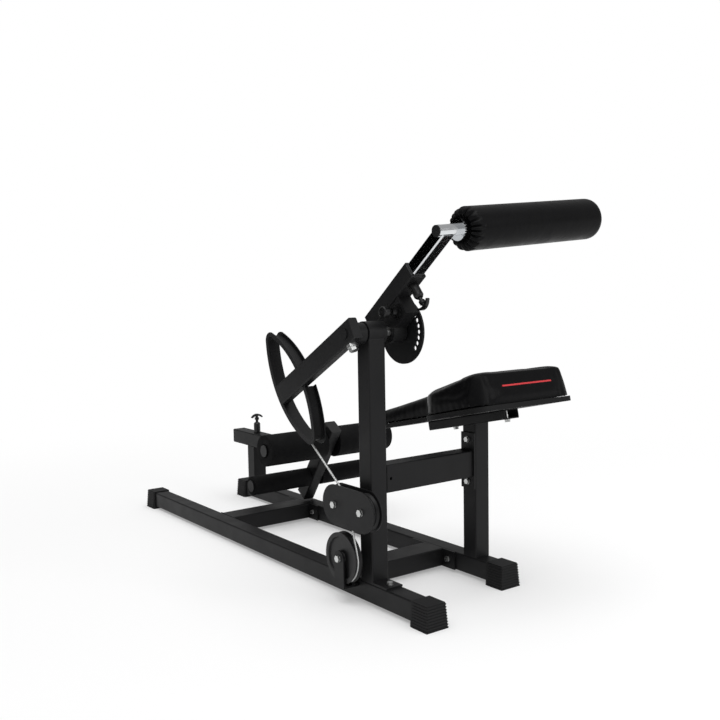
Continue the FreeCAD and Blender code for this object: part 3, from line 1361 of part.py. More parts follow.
def run_cable():
    """The cable from the cam, over the rear guide pulley and round the lower pulley."""
    first = crossed_tangent()
    second = outer_tangent()
    off_cam = polar(LIMB_CENTRE, -CABLE_ON_CAM, first)
    on_guide = polar(REAR_GUIDE, CABLE_ON_GUIDE, first)
    off_guide = polar(REAR_GUIDE, CABLE_ON_GUIDE, second)
    on_lower = polar(LOWER_PULLEY, CABLE_ON_LOWER, second)
    mid_guide = polar(REAR_GUIDE, CABLE_ON_GUIDE, (first + second) / 2)
    wrap = math.radians(CABLE_WRAP)
    mid_lower = polar(LOWER_PULLEY, CABLE_ON_LOWER, second - wrap / 2)
    end, lead_end, _ = cable_end()
    print("cable radii: cam %.1f, guide %.1f, lower pulley %.1f"
          % (CABLE_ON_CAM, CABLE_ON_GUIDE, CABLE_ON_LOWER))
    return cable_sweep([line(off_cam, on_guide), arc(on_guide, mid_guide, off_guide),
                        line(off_guide, on_lower), arc(on_lower, mid_lower, end),
                        line(end, lead_end)])


def cable_stop():
    """The swaged stop on the cable's lower end, in line with the cable."""
    _, start, way = cable_end()
    return Part.makeCylinder(CABLE_STOP_RADIUS, CABLE_STOP_LENGTH, start, way)


# ---------------------------------------------------------------- the whole model
def bolt_set(places):
    return group([through_bolt(start, end) for start, end in places])


def pieces():
    """Every node's name and shape."""
    nodes = {
        "near_rail": near_rail(),
        "far_rail": far_rail(),
        "cap_near_rear": rail_cap(-NEAR_RAIL_REAR, 0, -1),
        "cap_near_front": rail_cap(NEAR_RAIL_FRONT, 0, 1),
        "cap_far_rear": rail_cap(-FAR_RAIL_REAR, FAR_Y, -1),
        "cap_far_front": rail_cap(FAR_RAIL_FRONT, FAR_Y, 1),
        "front_crossmember": crossmember(FRONT_CROSS_X),
        "rear_crossmember": crossmember(REAR_CROSS_X),
        "mast": mast(),
        "pivot_bush": pivot_bush(),
        "beam": beam(),
        "frame_bolts": bolt_set(cross_bolts() + foot_bolts() + beam_bolts()),
        "seat_post": seat_post(),
        "seat_bracket": seat_bracket(),
        "seat_bolts": seat_bolt_set(),
        "seat_board": seat_board(),
        "seat_pad": seat_pad(),
        "back_post": back_post(),
        "back_sleeve": back_sleeve(),
        "sleeve_liner": sleeve_liner(),
        "sleeve_plug": sleeve_plug(),
        "sleeve_pin_barrel": sleeve_pin_barrel(),
        "sleeve_pin": sleeve_pin(),
        "slide_tube": slide_tube(),
        "roller_bracket": roller_bracket(),
        "foam_axles": group([foam_axle(UPPER_AXLE), foam_axle(LOWER_AXLE)]),
        "roller_frame_plugs": group([roller_bracket_plugs(), axle_caps(UPPER_AXLE),
                                     axle_caps(LOWER_AXLE)]),
        "upper_foam_near": foam_roller(UPPER_AXLE, FOAM_UPPER_RADIUS, False),
        "upper_foam_far": foam_roller(UPPER_AXLE, FOAM_UPPER_RADIUS, True),
        "lower_foam_near": foam_roller(LOWER_AXLE, FOAM_LOWER_RADIUS, False),
        "lower_foam_far": foam_roller(LOWER_AXLE, FOAM_LOWER_RADIUS, True),
        "lever_arm": lever_arm(),
        "arm_plug": arm_plug(),
        "arm_lock_bolt": lock_bolt(),
        "cam_ring": cam_ring(),
        "pivot_shaft": pivot_shaft(),
        "shaft_end_washers": shaft_washers(),
        "adjustment_disc": adjustment_disc(),
        "cable_anchor": anchor_bolt(),
        "pivot_block": pivot_block(),
        "carrier_tube": carrier_tube(),
        "carrier_liner": carrier_liner(),
        "carrier_barrels": group([plunger_barrel(), carrier_pin_barrel()]),
        "angle_plunger": angle_plunger(),
        "carrier_pin": carrier_pin(),
        "extension_tube": extension_tube(),
        "chest_axle": group([chest_axle(), chest_flange()]),
        "chest_axle_fittings": chest_axle_plug(),
        "chest_roller_core": chest_core(),
        "chest_roller_pad": chest_pad(),
        "guide_plates": group([guide_plate(GUIDE_PLATE_NEAR), guide_plate(GUIDE_PLATE_FAR),
                               guide_standoff()]),
        "pulley_bolts": group([guide_bolts(), lower_bolt()]),
        "guide_pulley_rear": pulley(GUIDE_PULLEY_RADIUS, GUIDE_X[0], GUIDE_HEIGHT),
        "guide_pulley_front": pulley(GUIDE_PULLEY_RADIUS, GUIDE_X[1], GUIDE_HEIGHT),
        "lower_pulley_bracket": lower_pulley_bracket(),
        "lower_pulley": pulley(LOWER_PULLEY_RADIUS, LOWER_PULLEY_X, LOWER_PULLEY_HEIGHT),
        "pulley_bushes": pulley_bushes(),
        "cam_cable": cam_cable(),
        "run_cable": run_cable(),
        "cable_stop": cable_stop(),
    }
    return nodes


def shift_of(nodes):
    """The move that puts the origin on the floor under the bounding box's middle."""
    boxes = [shape.optimalBoundingBox(False, False) for shape in nodes.values()]
    middle_x = (min(box.XMin for box in boxes) + max(box.XMax for box in boxes)) / 2
    middle_y = (min(box.YMin for box in boxes) + max(box.YMax for box in boxes)) / 2
    return V(-middle_x, -middle_y, 0)


def main():
    nodes = pieces()
    shift = shift_of(nodes)
    os.makedirs("parts", exist_ok=True)
    for name, shape in nodes.items():
        shape.translate(shift)
        if not shape.isValid():
            print("not valid:", name)
        shape.exportStep(os.path.join("parts", name + ".step"))
    print("nodes:", len(nodes), "shift: %.3f %.3f %.3f" % tuple(shift))


if __name__ == "__main__":
    main()
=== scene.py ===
"""A roman chair with a cable lever: its finishes, its padded seat and rollers, and the studio."""
import json
import math
import bpy
import bmesh
from mathutils import Matrix, Vector


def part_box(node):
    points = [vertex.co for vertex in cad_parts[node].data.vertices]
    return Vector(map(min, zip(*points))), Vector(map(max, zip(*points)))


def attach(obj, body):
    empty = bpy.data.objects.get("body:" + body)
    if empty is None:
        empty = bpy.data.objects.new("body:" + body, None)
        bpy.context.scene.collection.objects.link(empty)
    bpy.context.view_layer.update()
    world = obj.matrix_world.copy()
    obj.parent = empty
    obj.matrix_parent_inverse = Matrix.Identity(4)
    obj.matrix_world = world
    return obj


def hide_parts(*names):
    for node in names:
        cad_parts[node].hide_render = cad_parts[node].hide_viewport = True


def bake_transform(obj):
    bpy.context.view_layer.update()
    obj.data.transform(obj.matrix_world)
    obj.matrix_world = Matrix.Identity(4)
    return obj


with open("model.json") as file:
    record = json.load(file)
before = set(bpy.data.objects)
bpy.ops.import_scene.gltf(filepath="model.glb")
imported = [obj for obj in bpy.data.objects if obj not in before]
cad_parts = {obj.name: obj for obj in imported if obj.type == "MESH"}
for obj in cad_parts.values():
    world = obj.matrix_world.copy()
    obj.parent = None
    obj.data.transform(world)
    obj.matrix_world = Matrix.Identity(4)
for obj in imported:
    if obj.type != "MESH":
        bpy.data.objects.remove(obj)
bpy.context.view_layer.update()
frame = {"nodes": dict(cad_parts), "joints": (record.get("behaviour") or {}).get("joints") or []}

bl_info = {
    "name": "Roman Chair",
    "version": (1, 0, 0),
    "blender": (4, 5, 0),
    "location": "View3D > Sidebar > Roman Chair",
    "description": "Dresses the frame of a roman chair and sets its studio",
    "category": "Object",
}

NODES = frame["nodes"]
JOINTS = {joint["name"]: joint for joint in frame["joints"]}
PIVOT = Vector(JOINTS["lever_swing"]["pos_m"])
MM = 0.001


# ---------------------------------------------------------------- settings
class StudioSettings(bpy.types.PropertyGroup):
    """The camera and the light of the studio."""
    camera_offset: bpy.props.FloatVectorProperty(
        name="Camera offset", description="From the lever's pivot to the camera",
        default=(1.7947, -1.3506, 0.1273), unit="LENGTH")
    azimuth: bpy.props.FloatProperty(
        name="Azimuth", description="Turn of the view from +Y towards -X",
        default=math.radians(53.74), subtype="ANGLE")
    elevation: bpy.props.FloatProperty(
        name="Elevation", description="How far the camera looks down",
        default=math.radians(4.93), subtype="ANGLE")
    roll: bpy.props.FloatProperty(
        name="Roll", description="Turn of the picture about the line of sight",
        default=math.radians(-0.97), subtype="ANGLE")
    lens: bpy.props.FloatProperty(
        name="Lens", description="Focal length on a 36 mm sensor, in millimetres",
        default=45.93, min=20.0, max=120.0)
    floor_colour: bpy.props.StringProperty(
        name="Floor colour", description="sRGB hex value of the floor", default="#f6f6f6")
    sun_strength: bpy.props.FloatProperty(
        name="Overhead light", description="Strength of the broad overhead light",
        default=1.95, min=0.0)
    sky_strength: bpy.props.FloatProperty(
        name="Room light", description="Strength of the light from all round",
        default=0.42, min=0.0)
    side_power: bpy.props.FloatProperty(
        name="Side softbox", description="Power of the softbox on the seat's side",
        default=26.0, unit="POWER")


class PaddingSettings(bpy.types.PropertyGroup):
    """Sizes of the padded seat and the rollers."""
    voxel: bpy.props.FloatProperty(
        name="Voxel", description="Size of the remesh before the cover is filled",
        default=5 * MM, unit="LENGTH")
    fill_cap: bpy.props.FloatProperty(
        name="Fill cap", description="How far filling may move the cover",
        default=5 * MM, unit="LENGTH")
    rear_thickness: bpy.props.FloatProperty(
        name="Rear thickness", description="Height of the seat's pad at its rear",
        default=82 * MM, unit="LENGTH")
    nose_thickness: bpy.props.FloatProperty(
        name="Nose thickness", description="Height of the seat's pad at its nose",
        default=33 * MM, unit="LENGTH")
    fall_length: bpy.props.FloatProperty(
        name="Fall", description="From the rear edge to where the pad's top is level again",
        default=650 * MM, unit="LENGTH")
    shoulder_drop: bpy.props.FloatProperty(
        name="Shoulder drop", description="How far the pad's top falls from its middle to its sides",
        default=17 * MM, unit="LENGTH")
    drop_length: bpy.props.FloatProperty(
        name="Drop", description="From the rear edge to where that drop is whole",
        default=200 * MM, unit="LENGTH")
    rear_lean: bpy.props.FloatProperty(
        name="Rear lean", description="How far the rear face leans forward at its top",
        default=4 * MM, unit="LENGTH")
    side_lean: bpy.props.FloatProperty(
        name="Side lean", description="How much narrower the pad is at its top, as a share",
        default=0.03, min=0.0, max=0.3)
    fold_depth: bpy.props.FloatProperty(
        name="Fold depth", description="Depth of the folds round the seat's rear corners",
        default=1.8 * MM, unit="LENGTH")
    fold_pitch: bpy.props.FloatProperty(
        name="Fold pitch", description="Distance from fold to fold",
        default=21 * MM, unit="LENGTH")
    stripe_width: bpy.props.FloatProperty(
        name="Stripe", description="Width of the ribbon on the seat's rear face",
        default=4 * MM, unit="LENGTH")
    sleeve_edge: bpy.props.FloatProperty(
        name="Sleeve edge", description="Rounding of the chest roller's ends",
        default=19 * MM, unit="LENGTH")
    pleats: bpy.props.IntProperty(
        name="Pleats", description="Gathers at the chest roller's drawn-in end",
        default=19, min=6, max=40)
    pleat_depth: bpy.props.FloatProperty(
        name="Pleat depth", description="Depth of the deepest gather",
        default=8 * MM, unit="LENGTH")
    pleat_reach: bpy.props.FloatProperty(
        name="Pleat reach", description="How far the gathers run along the roller",
        default=34 * MM, unit="LENGTH")


class FinishSettings(bpy.types.PropertyGroup):
    """Base colours of the finishes, as sRGB hex values."""
    paint: bpy.props.StringProperty(
        name="Powder coat", description="Satin black powder coat", default="#161617")
    vinyl: bpy.props.StringProperty(
        name="Vinyl", description="Black upholstery vinyl", default="#0d0d0e")
    foam: bpy.props.StringProperty(
        name="Foam", description="Black nitrile foam", default="#0a0a0b")
    rubber: bpy.props.StringProperty(
        name="Rubber", description="Moulded black rubber", default="#101011")
    nylon: bpy.props.StringProperty(
        name="Nylon", description="Moulded black nylon", default="#101011")
    zinc: bpy.props.StringProperty(
        name="Zinc", description="Bright zinc plate", default="#c9cac9")
    chrome: bpy.props.StringProperty(
        name="Chrome", description="Bright chrome plate", default="#dcdee0")
    stripe: bpy.props.StringProperty(
        name="Stripe", description="Red printed stripe", default="#c8252c")


# ---------------------------------------------------------------- colour and node helpers
def linear(hex_colour):
    """An sRGB hex value as the linear colour that a shader takes."""
    channels = []
    for start in (1, 3, 5):
        value = int(hex_colour[start:start + 2], 16) / 255
        low = value / 12.92
        high = ((value + 0.055) / 1.055) ** 2.4
        channels.append(low if value <= 0.04045 else high)
    return (channels[0], channels[1], channels[2], 1.0)


def add_node(tree, kind, inputs=(), **settings):
    """Add a node, set its properties, and set or link its inputs by name or index."""
    made = tree.nodes.new(kind)
    for key, value in settings.items():
        setattr(made, key, value)
    for key, value in dict(inputs).items():
        if isinstance(value, bpy.types.NodeSocket):
            tree.links.new(value, made.inputs[key])
        else:
            made.inputs[key].default_value = value
    return made


def new_material(name):
    """An empty material with its tree and object coordinates."""
    material = bpy.data.materials.new(name)
    material.use_nodes = True
    tree = material.node_tree
    tree.nodes.clear()
    coordinates = add_node(tree, "ShaderNodeTexCoord").outputs["Object"]
    return material, tree, coordinates


def close_material(tree, shader):
    """Send a shader to the material's output."""
    add_node(tree, "ShaderNodeOutputMaterial", {"Surface": shader.outputs[0]})


def principled(material, tree, inputs):
    """Close a material with one principled shader."""
    close_material(tree, add_node(tree, "ShaderNodeBsdfPrincipled", inputs))
    return material


def noise(tree, place, size, detail, distortion=0.0):
    """Soft noise with patches of a size in metres."""
    return add_node(tree, "ShaderNodeTexNoise",
                    {"Vector": place, "Scale": 1 / size, "Detail": detail,
                     "Distortion": distortion}).outputs["Fac"]


def relief(tree, height, strength, depth, under=None):
    """The normal of a surface roughened by a height pattern of a depth in metres."""
    inputs = {"Height": height, "Strength": strength, "Distance": depth}
    if under is not None:
        inputs["Normal"] = under
    return add_node(tree, "ShaderNodeBump", inputs).outputs[0]


def mottled(tree, coordinates, colour, size, spread):
    """A colour that varies softly over patches of a size in metres."""
    dark = tuple(channel * (1 - spread) for channel in colour[:3]) + (1.0,)
    light = tuple(min(channel * (1 + spread), 1.0) for channel in colour[:3]) + (1.0,)
    return add_node(tree, "ShaderNodeMix",
                    {0: noise(tree, coordinates, size, 3.0), 6: dark, 7: light},
                    data_type="RGBA").outputs[2]


def ranged(tree, factor, low, high):
    """Map the middle of a noise pattern's values onto a range."""
    return add_node(tree, "ShaderNodeMapRange",
                    {"Value": factor, "From Min": 0.3, "From Max": 0.7,
                     "To Min": low, "To Max": high}).outputs[0]


WEAR_BEGINS = 0.985         # cosine between a face and its rounded edge where wear begins
WEAR_WHOLE = 0.85           # and where it is whole
WORN_WIDTH = 1.2 * MM
WORN_LIGHTER = 2.2          # how many times lighter the coat is there


def worn_edges(tree):
    """1 along a piece's sharp edges and 0 on its faces: where handling rubs the finish."""
    rounded = add_node(tree, "ShaderNodeBevel", {"Radius": WORN_WIDTH}, samples=4)
    face = add_node(tree, "ShaderNodeNewGeometry")
    agree = add_node(tree, "ShaderNodeVectorMath",
                     {0: rounded.outputs[0], 1: face.outputs["Normal"]},
                     operation="DOT_PRODUCT")
    return add_node(tree, "ShaderNodeMapRange",
                    {"Value": agree.outputs["Value"], "From Min": WEAR_BEGINS,
                     "From Max": WEAR_WHOLE, "To Min": 0.0, "To Max": 1.0}).outputs[0]


# ---------------------------------------------------------------- finishes
def powder_coat(colours):
    """Satin powder coat: an even black with a faint orange peel, rubbed paler at the edges."""
    material, tree, place = new_material("powder_coat_satin")
    peel = noise(tree, place, 2.2 * MM, 2.0)
    cloud = noise(tree, place, 60 * MM, 4.0)
    paint = linear(colours.paint)
    rubbed = tuple(channel * WORN_LIGHTER for channel in paint[:3]) + (1.0,)
    worn = add_node(tree, "ShaderNodeMix",
                    {0: worn_edges(tree), 6: mottled(tree, place, paint, 45 * MM, 0.10),
                     7: rubbed}, data_type="RGBA")
    return principled(material, tree, {
        "Base Color": worn.outputs[2],
        "Roughness": ranged(tree, cloud, 0.40, 0.50), "Specular IOR Level": 0.18,
        "Normal": relief(tree, peel, 0.25, 0.25 * MM)})


def moulded_rubber(colours):
    """Moulded rubber: dull, with a fine matt bloom."""
    material, tree, place = new_material("moulded_rubber")
    grain = noise(tree, place, 1.2 * MM, 3.0)
    return principled(material, tree, {
        "Base Color": mottled(tree, place, linear(colours.rubber), 12 * MM, 0.18),
        "Roughness": 0.62, "Specular IOR Level": 0.25,
        "Normal": relief(tree, grain, 0.35, 0.2 * MM)})


def zinc_plate(colours):
    """Zinc-plated steel: bright and slightly cloudy."""
    material, tree, place = new_material("zinc_plated_steel")
    cloud = noise(tree, place, 4 * MM, 4.0)
    return principled(material, tree, {
        "Base Color": mottled(tree, place, linear(colours.zinc), 6 * MM, 0.08),
        "Metallic": 1.0, "Roughness": ranged(tree, cloud, 0.24, 0.38),
        "Normal": relief(tree, cloud, 0.15, 0.15 * MM)})


def chrome_plate(colours):
    """Bright chrome over drawn tube: a mirror with a faint haze."""
    material, tree, place = new_material("chrome_plated_tube")
    haze = noise(tree, place, 9 * MM, 3.0)
    return principled(material, tree, {
        "Base Color": mottled(tree, place, linear(colours.chrome), 20 * MM, 0.04),
        "Metallic": 1.0, "Roughness": ranged(tree, haze, 0.07, 0.16)})


def upholstery_vinyl(colours):
    """Upholstery vinyl: soft gloss over a pebbled grain and slow creases."""
    material, tree, place = new_material("upholstery_vinyl")
    pebble = add_node(tree, "ShaderNodeTexVoronoi",
                      {"Vector": place, "Scale": 1 / (1.8 * MM)}, feature="SMOOTH_F1")
    crease = noise(tree, place, 38 * MM, 3.0, 0.6)
    fine = relief(tree, pebble.outputs["Distance"], 0.25, 0.25 * MM)
    return principled(material, tree, {
        "Base Color": mottled(tree, place, linear(colours.vinyl), 50 * MM, 0.12),
        "Roughness": ranged(tree, crease, 0.30, 0.42), "Specular IOR Level": 0.07,
        "Normal": relief(tree, crease, 0.35, 3 * MM, fine)})


def nitrile_foam(colours):
    """Closed-cell nitrile foam: matt, with tiny pores and a faint skin."""
    material, tree, place = new_material("nitrile_foam")
    pores = add_node(tree, "ShaderNodeTexVoronoi",
                     {"Vector": place, "Scale": 1 / (1.5 * MM)}, feature="F1")
    skin = noise(tree, place, 25 * MM, 4.0)
    return principled(material, tree, {
        "Base Color": mottled(tree, place, linear(colours.foam), 18 * MM, 0.15),
        "Roughness": ranged(tree, skin, 0.62, 0.78), "Specular IOR Level": 0.1,
        "Normal": relief(tree, pores.outputs["Distance"], 0.4, 0.3 * MM)})


def moulded_nylon(colours):
    """Moulded nylon: satin, with the faint sparkle of a textured mould."""
    material, tree, place = new_material("moulded_nylon")
    spark = noise(tree, place, 1.0 * MM, 2.0)
    return principled(material, tree, {
        "Base Color": mottled(tree, place, linear(colours.nylon), 15 * MM, 0.08),
        "Roughness": 0.42, "Specular IOR Level": 0.3,
        "Normal": relief(tree, spark, 0.2, 0.12 * MM)})


def black_oxide(colours):
    """Black-oxide steel: dark metal with a soft uneven sheen, on the pull pins."""
    material, tree, place = new_material("black_oxide_steel")
    sheen = noise(tree, place, 5 * MM, 5.0)
    return principled(material, tree, {
        "Base Color": mottled(tree, place, linear(colours.nylon), 8 * MM, 0.2),
        "Metallic": 0.35, "Roughness": ranged(tree, sheen, 0.25, 0.4)})


def stranded_wire(colours):
    """Galvanised wire rope: slanting strands about 2 mm apart, so that they show."""
    material, tree, place = new_material("stranded_wire")
    turned = add_node(tree, "ShaderNodeMapping",
                      {"Vector": place, "Rotation": (0.0, math.radians(40), 0.0)})
    # A wave pattern of scale 1 repeats every 0.314 m, so this one does every 1.9 mm.
    strands = add_node(tree, "ShaderNodeTexWave",
                       {"Vector": turned.outputs[0], "Scale": 1 / (6 * MM),
                        "Distortion": 0.5}, wave_type="BANDS", bands_direction="X")
    return principled(material, tree, {
        "Base Color": mottled(tree, place, linear(colours.zinc), 5 * MM, 0.12),
        "Metallic": 0.9, "Roughness": 0.34,
        "Normal": relief(tree, strands.outputs["Fac"], 0.6, 0.4 * MM)})


def wrapped_board(colours):
    """Black backing cloth over the seat's board: flat and dull, with a 2 mm weave."""
    material, tree, place = new_material("board_backing_cloth")
    weave = add_node(tree, "ShaderNodeTexChecker", {"Vector": place, "Scale": 1 / (2 * MM)})
    return principled(material, tree, {
        "Base Color": mottled(tree, place, linear(colours.vinyl), 30 * MM, 0.15),
        "Roughness": 0.6, "Specular IOR Level": 0.2,
        "Normal": relief(tree, weave.outputs["Fac"], 0.15, 0.1 * MM)})


def woven_ribbon(colours):
    """Woven red ribbon: a fine weave that keeps its colour flat and matt."""
    material, tree, place = new_material("woven_red_ribbon")
    weave = add_node(tree, "ShaderNodeTexChecker", {"Vector": place, "Scale": 1 / (0.8 * MM)})
    return principled(material, tree, {
        "Base Color": mottled(tree, place, linear(colours.stripe), 6 * MM, 0.06),
        "Roughness": 0.6, "Sheen Weight": 0.1,
        "Normal": relief(tree, weave.outputs["Fac"], 0.2, 0.1 * MM)})


FINISH_NODES = {
    moulded_rubber: ("cap_near_rear", "cap_near_front", "cap_far_rear", "cap_far_front"),
    zinc_plate: ("frame_bolts", "seat_bolts", "arm_lock_bolt", "shaft_end_washers",
                 "cable_anchor", "pulley_bolts", "pivot_shaft", "pulley_bushes", "cable_stop"),
    chrome_plate: ("extension_tube", "chest_axle", "foam_axles"),
    moulded_nylon: ("chest_axle_fittings", "sleeve_liner", "sleeve_plug", "carrier_liner",
                    "roller_frame_plugs", "arm_plug", "chest_roller_core", "guide_pulley_rear",
                    "guide_pulley_front", "lower_pulley"),
    black_oxide: ("sleeve_pin_barrel", "sleeve_pin", "carrier_pin", "angle_plunger",
                  "carrier_barrels"),
    stranded_wire: ("cam_cable", "run_cable"),
    wrapped_board: ("seat_board",),
    upholstery_vinyl: ("seat_pad", "chest_roller_pad"),
    nitrile_foam: ("upper_foam_near", "upper_foam_far", "lower_foam_near", "lower_foam_far"),
}
MADE = {}


def finish(maker):
    """The material that a maker gives, made once."""
    if maker not in MADE:
        MADE[maker] = maker(bpy.context.scene.chair_finish)
    return MADE[maker]


def coat(piece, material):
    """Give a piece one material on every slot it has."""
    if not piece.material_slots:
        piece.data.materials.append(material)
    for material_slot in piece.material_slots:
        material_slot.material = material


# ---------------------------------------------------------------- modelling helpers
def leave_edit():
    """Object mode with nothing selected."""
    if bpy.context.mode != "OBJECT":
        bpy.ops.object.mode_set(mode="OBJECT")
    bpy.ops.object.select_all(action="DESELECT")


def choose(piece):
    """Select one piece alone and make it the active one."""
    leave_edit()
    piece.select_set(True)
    bpy.context.view_layer.objects.active = piece


def added(name):
    """Name the primitive that was just added."""
    piece = bpy.context.object
    piece.name = name
    piece.data.name = name
    return piece


def settle(piece):
    """Put a piece's place and turn into its mesh."""
    choose(piece)
    bpy.ops.object.transform_apply(location=True, rotation=True, scale=True)


def pick_faces(piece, test):
    """In edit mode, select only the faces whose middle and normal pass the test."""
    bpy.ops.mesh.select_mode(type="FACE")
    bpy.ops.mesh.select_all(action="DESELECT")
    mesh = bmesh.from_edit_mesh(piece.data)
    for face in mesh.faces:
        if test(face.calc_center_median(), face.normal):
            face.select_set(True)
    bmesh.update_edit_mesh(piece.data)


def apply_modifier(piece, kind, **settings):
    """Add a modifier with its settings and apply it."""
    choose(piece)
    modifier = piece.modifiers.new(kind.title(), kind)
    for key, value in settings.items():
        setattr(modifier, key, value)
    bpy.ops.object.modifier_apply(modifier=modifier.name)


def smooth(piece, angle):
    """Shade a piece smooth up to an angle in degrees."""
    choose(piece)
    bpy.ops.object.shade_smooth_by_angle(angle=math.radians(angle))


def hand_over(piece, body, material, nodes=()):
    """Finish a piece: its material, the body it rides on and the nodes it stands for."""
    coat(piece, material)
    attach(piece, body)
    if nodes:
        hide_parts(*nodes)
    leave_edit()


# ---------------------------------------------------------------- padded pieces
FILL_PRESSURE = 4.0
FILL_FRAMES = 20


def fill_cover(piece, cap, pinned):
    """Fill a cover as with foam: cloth under pressure, held where pinned says, and capped."""
    group = piece.vertex_groups.new(name="held")
    held = [vertex.index for vertex in piece.data.vertices if pinned(vertex.co)]
    if held:
        group.add(held, 1.0, "REPLACE")
    start = [vertex.co.copy() for vertex in piece.data.vertices]
    cloth = piece.modifiers.new("Fill", "CLOTH")
    cloth.settings.use_pressure = True
    cloth.settings.uniform_pressure_force = FILL_PRESSURE
    cloth.settings.vertex_group_mass = "held"
    cloth.settings.effector_weights.gravity = 0.0
    scene = bpy.context.scene
    for step in range(1, FILL_FRAMES + 1):
        scene.frame_set(step)
    choose(piece)
    bpy.ops.object.modifier_apply(modifier=cloth.name)
    scene.frame_set(1)
    for vertex, before in zip(piece.data.vertices, start):
        move = vertex.co - before
        if move.length > cap:
            vertex.co = before + move * (cap / move.length)
    piece.vertex_groups.clear()


def cover_from(node, name, voxel, inset):
    """A closed cover in the shape of a padded solid, remeshed and drawn in a little."""
    mesh = NODES[node].data.copy()
    cover = bpy.data.objects.new(name, mesh)
    bpy.context.scene.collection.objects.link(cover)
    choose(cover)
    bpy.ops.object.mode_set(mode="EDIT")
    bpy.ops.mesh.select_all(action="SELECT")
    bpy.ops.mesh.remove_doubles(threshold=0.02 * MM)
    bpy.ops.object.mode_set(mode="OBJECT")
    apply_modifier(cover, "REMESH", mode="VOXEL", voxel_size=voxel)
    apply_modifier(cover, "DISPLACE", strength=-inset, mid_level=0.0)
    return cover


def eased(share):
    """0 up to 0, 1 from 1 on, and a smooth rise between."""
    share = min(max(share, 0.0), 1.0)
    return share * share * (3 - 2 * share)


# ---------------------------------------------------------------- seat
SEAT_TILT = math.radians(12.3)
SEAT_FORWARD = Vector((math.cos(SEAT_TILT), 0, math.sin(SEAT_TILT)))
SEAT_UP = Vector((-math.sin(SEAT_TILT), 0, math.cos(SEAT_TILT)))

COVER_INSET = 1.5 * MM      # how far the cover starts inside the solid, before it is filled
BASE_HELD = 4 * MM          # smoothing leaves the cover alone up to this height
BASE_FREE = 16 * MM         # and moves it freely from here up
BASE_PINNED = 9 * MM        # below this height the cover is stapled to the board
CREST_STEP = 10 * MM        # the solid's height is taken over strips of this length
SIDE_FACING = 0.7           # a side's normal has less than this along the seat's up

CORNER_INSET = 8 * MM       # the folds round a rear corner centre this far in from its faces
CORNER_SPREAD = 34 * MM
BASE_FOLDS = 26 * MM        # height over which the folds at the board die away
TOP_FOLDS = 62 * MM         # height of the folds along the top's edge
TOP_FOLDS_WIDTH = 14 * MM
STAPLE_PITCH = 31 * MM      # shallow pulls between the staples, with a slow change of depth
STAPLE_CHANGE = 83 * MM

STRIPE_START = -82 * MM     # from the seat's middle, across its rear face
STRIPE_LENGTH = 174 * MM
STRIPE_HEIGHT = 45 * MM     # over the board
STRIPE_THICKNESS = 0.9 * MM
STRIPE_LIFT = 0.5 * MM      # its middle, over the cover
STRIPE_SOUGHT = -60 * MM    # the cover's rear face is looked for from this far behind it


class SeatFrame:
    """Places on the tilted seat: distance from the rear edge, offset across, height."""

    def __init__(self):
        corners = [vertex.co for vertex in NODES["seat_board"].data.vertices]
        self.rear = max(corner.dot(SEAT_FORWARD) for corner in corners)
        self.top = max(corner.dot(SEAT_UP) for corner in corners)
        left = max(corner.y for corner in corners)
        self.middle = (left + min(corner.y for corner in corners)) / 2
        self.half = left - self.middle

    def measure(self, point):
        """Distance from the rear edge, offset across and height over the board of a point."""
        return (self.rear - point.dot(SEAT_FORWARD), point.y - self.middle,
                point.dot(SEAT_UP) - self.top)

    def place(self, back, across, height):
        """The point with those three measures."""
        return (SEAT_FORWARD * (self.rear - back) + SEAT_UP * (self.top + height)
                + Vector((0, self.middle + across, 0)))


def smooth_cover(cover, seat, rounds):
    """Smooth a cover, all but its base."""
    group = cover.vertex_groups.new(name="free")
    for vertex in cover.data.vertices:
        height = seat.measure(vertex.co)[2]
        share = min(max((height - BASE_HELD) / (BASE_FREE - BASE_HELD), 0.0), 1.0)
        group.add([vertex.index], share, "REPLACE")
    apply_modifier(cover, "SMOOTH", factor=0.5, iterations=rounds, vertex_group="free")


def shape_seat(cover, seat, sizes):
    """Give the pad its fall from the rear to the nose, with sides that lean in."""
    crest = {}
    for vertex in cover.data.vertices:
        back, across, height = seat.measure(vertex.co)
        key = round(back / CREST_STEP)
        crest[key] = max(crest.get(key, 0.0), height)
    for vertex in cover.data.vertices:
        back, across, height = seat.measure(vertex.co)
        level = min(max(height / crest[round(back / CREST_STEP)], 0.0), 1.0)
        fall = 1 - eased(back / sizes.fall_length)
        thickness = sizes.nose_thickness + (sizes.rear_thickness - sizes.nose_thickness) * fall
        drop = sizes.shoulder_drop * eased(back / sizes.drop_length)
        thickness -= drop * (across / seat.half) ** 2
        lean = 1 - sizes.side_lean * level ** 2
        vertex.co = seat.place(back + sizes.rear_lean * level ** 2 * fall, across * lean,
                               thickness * level)


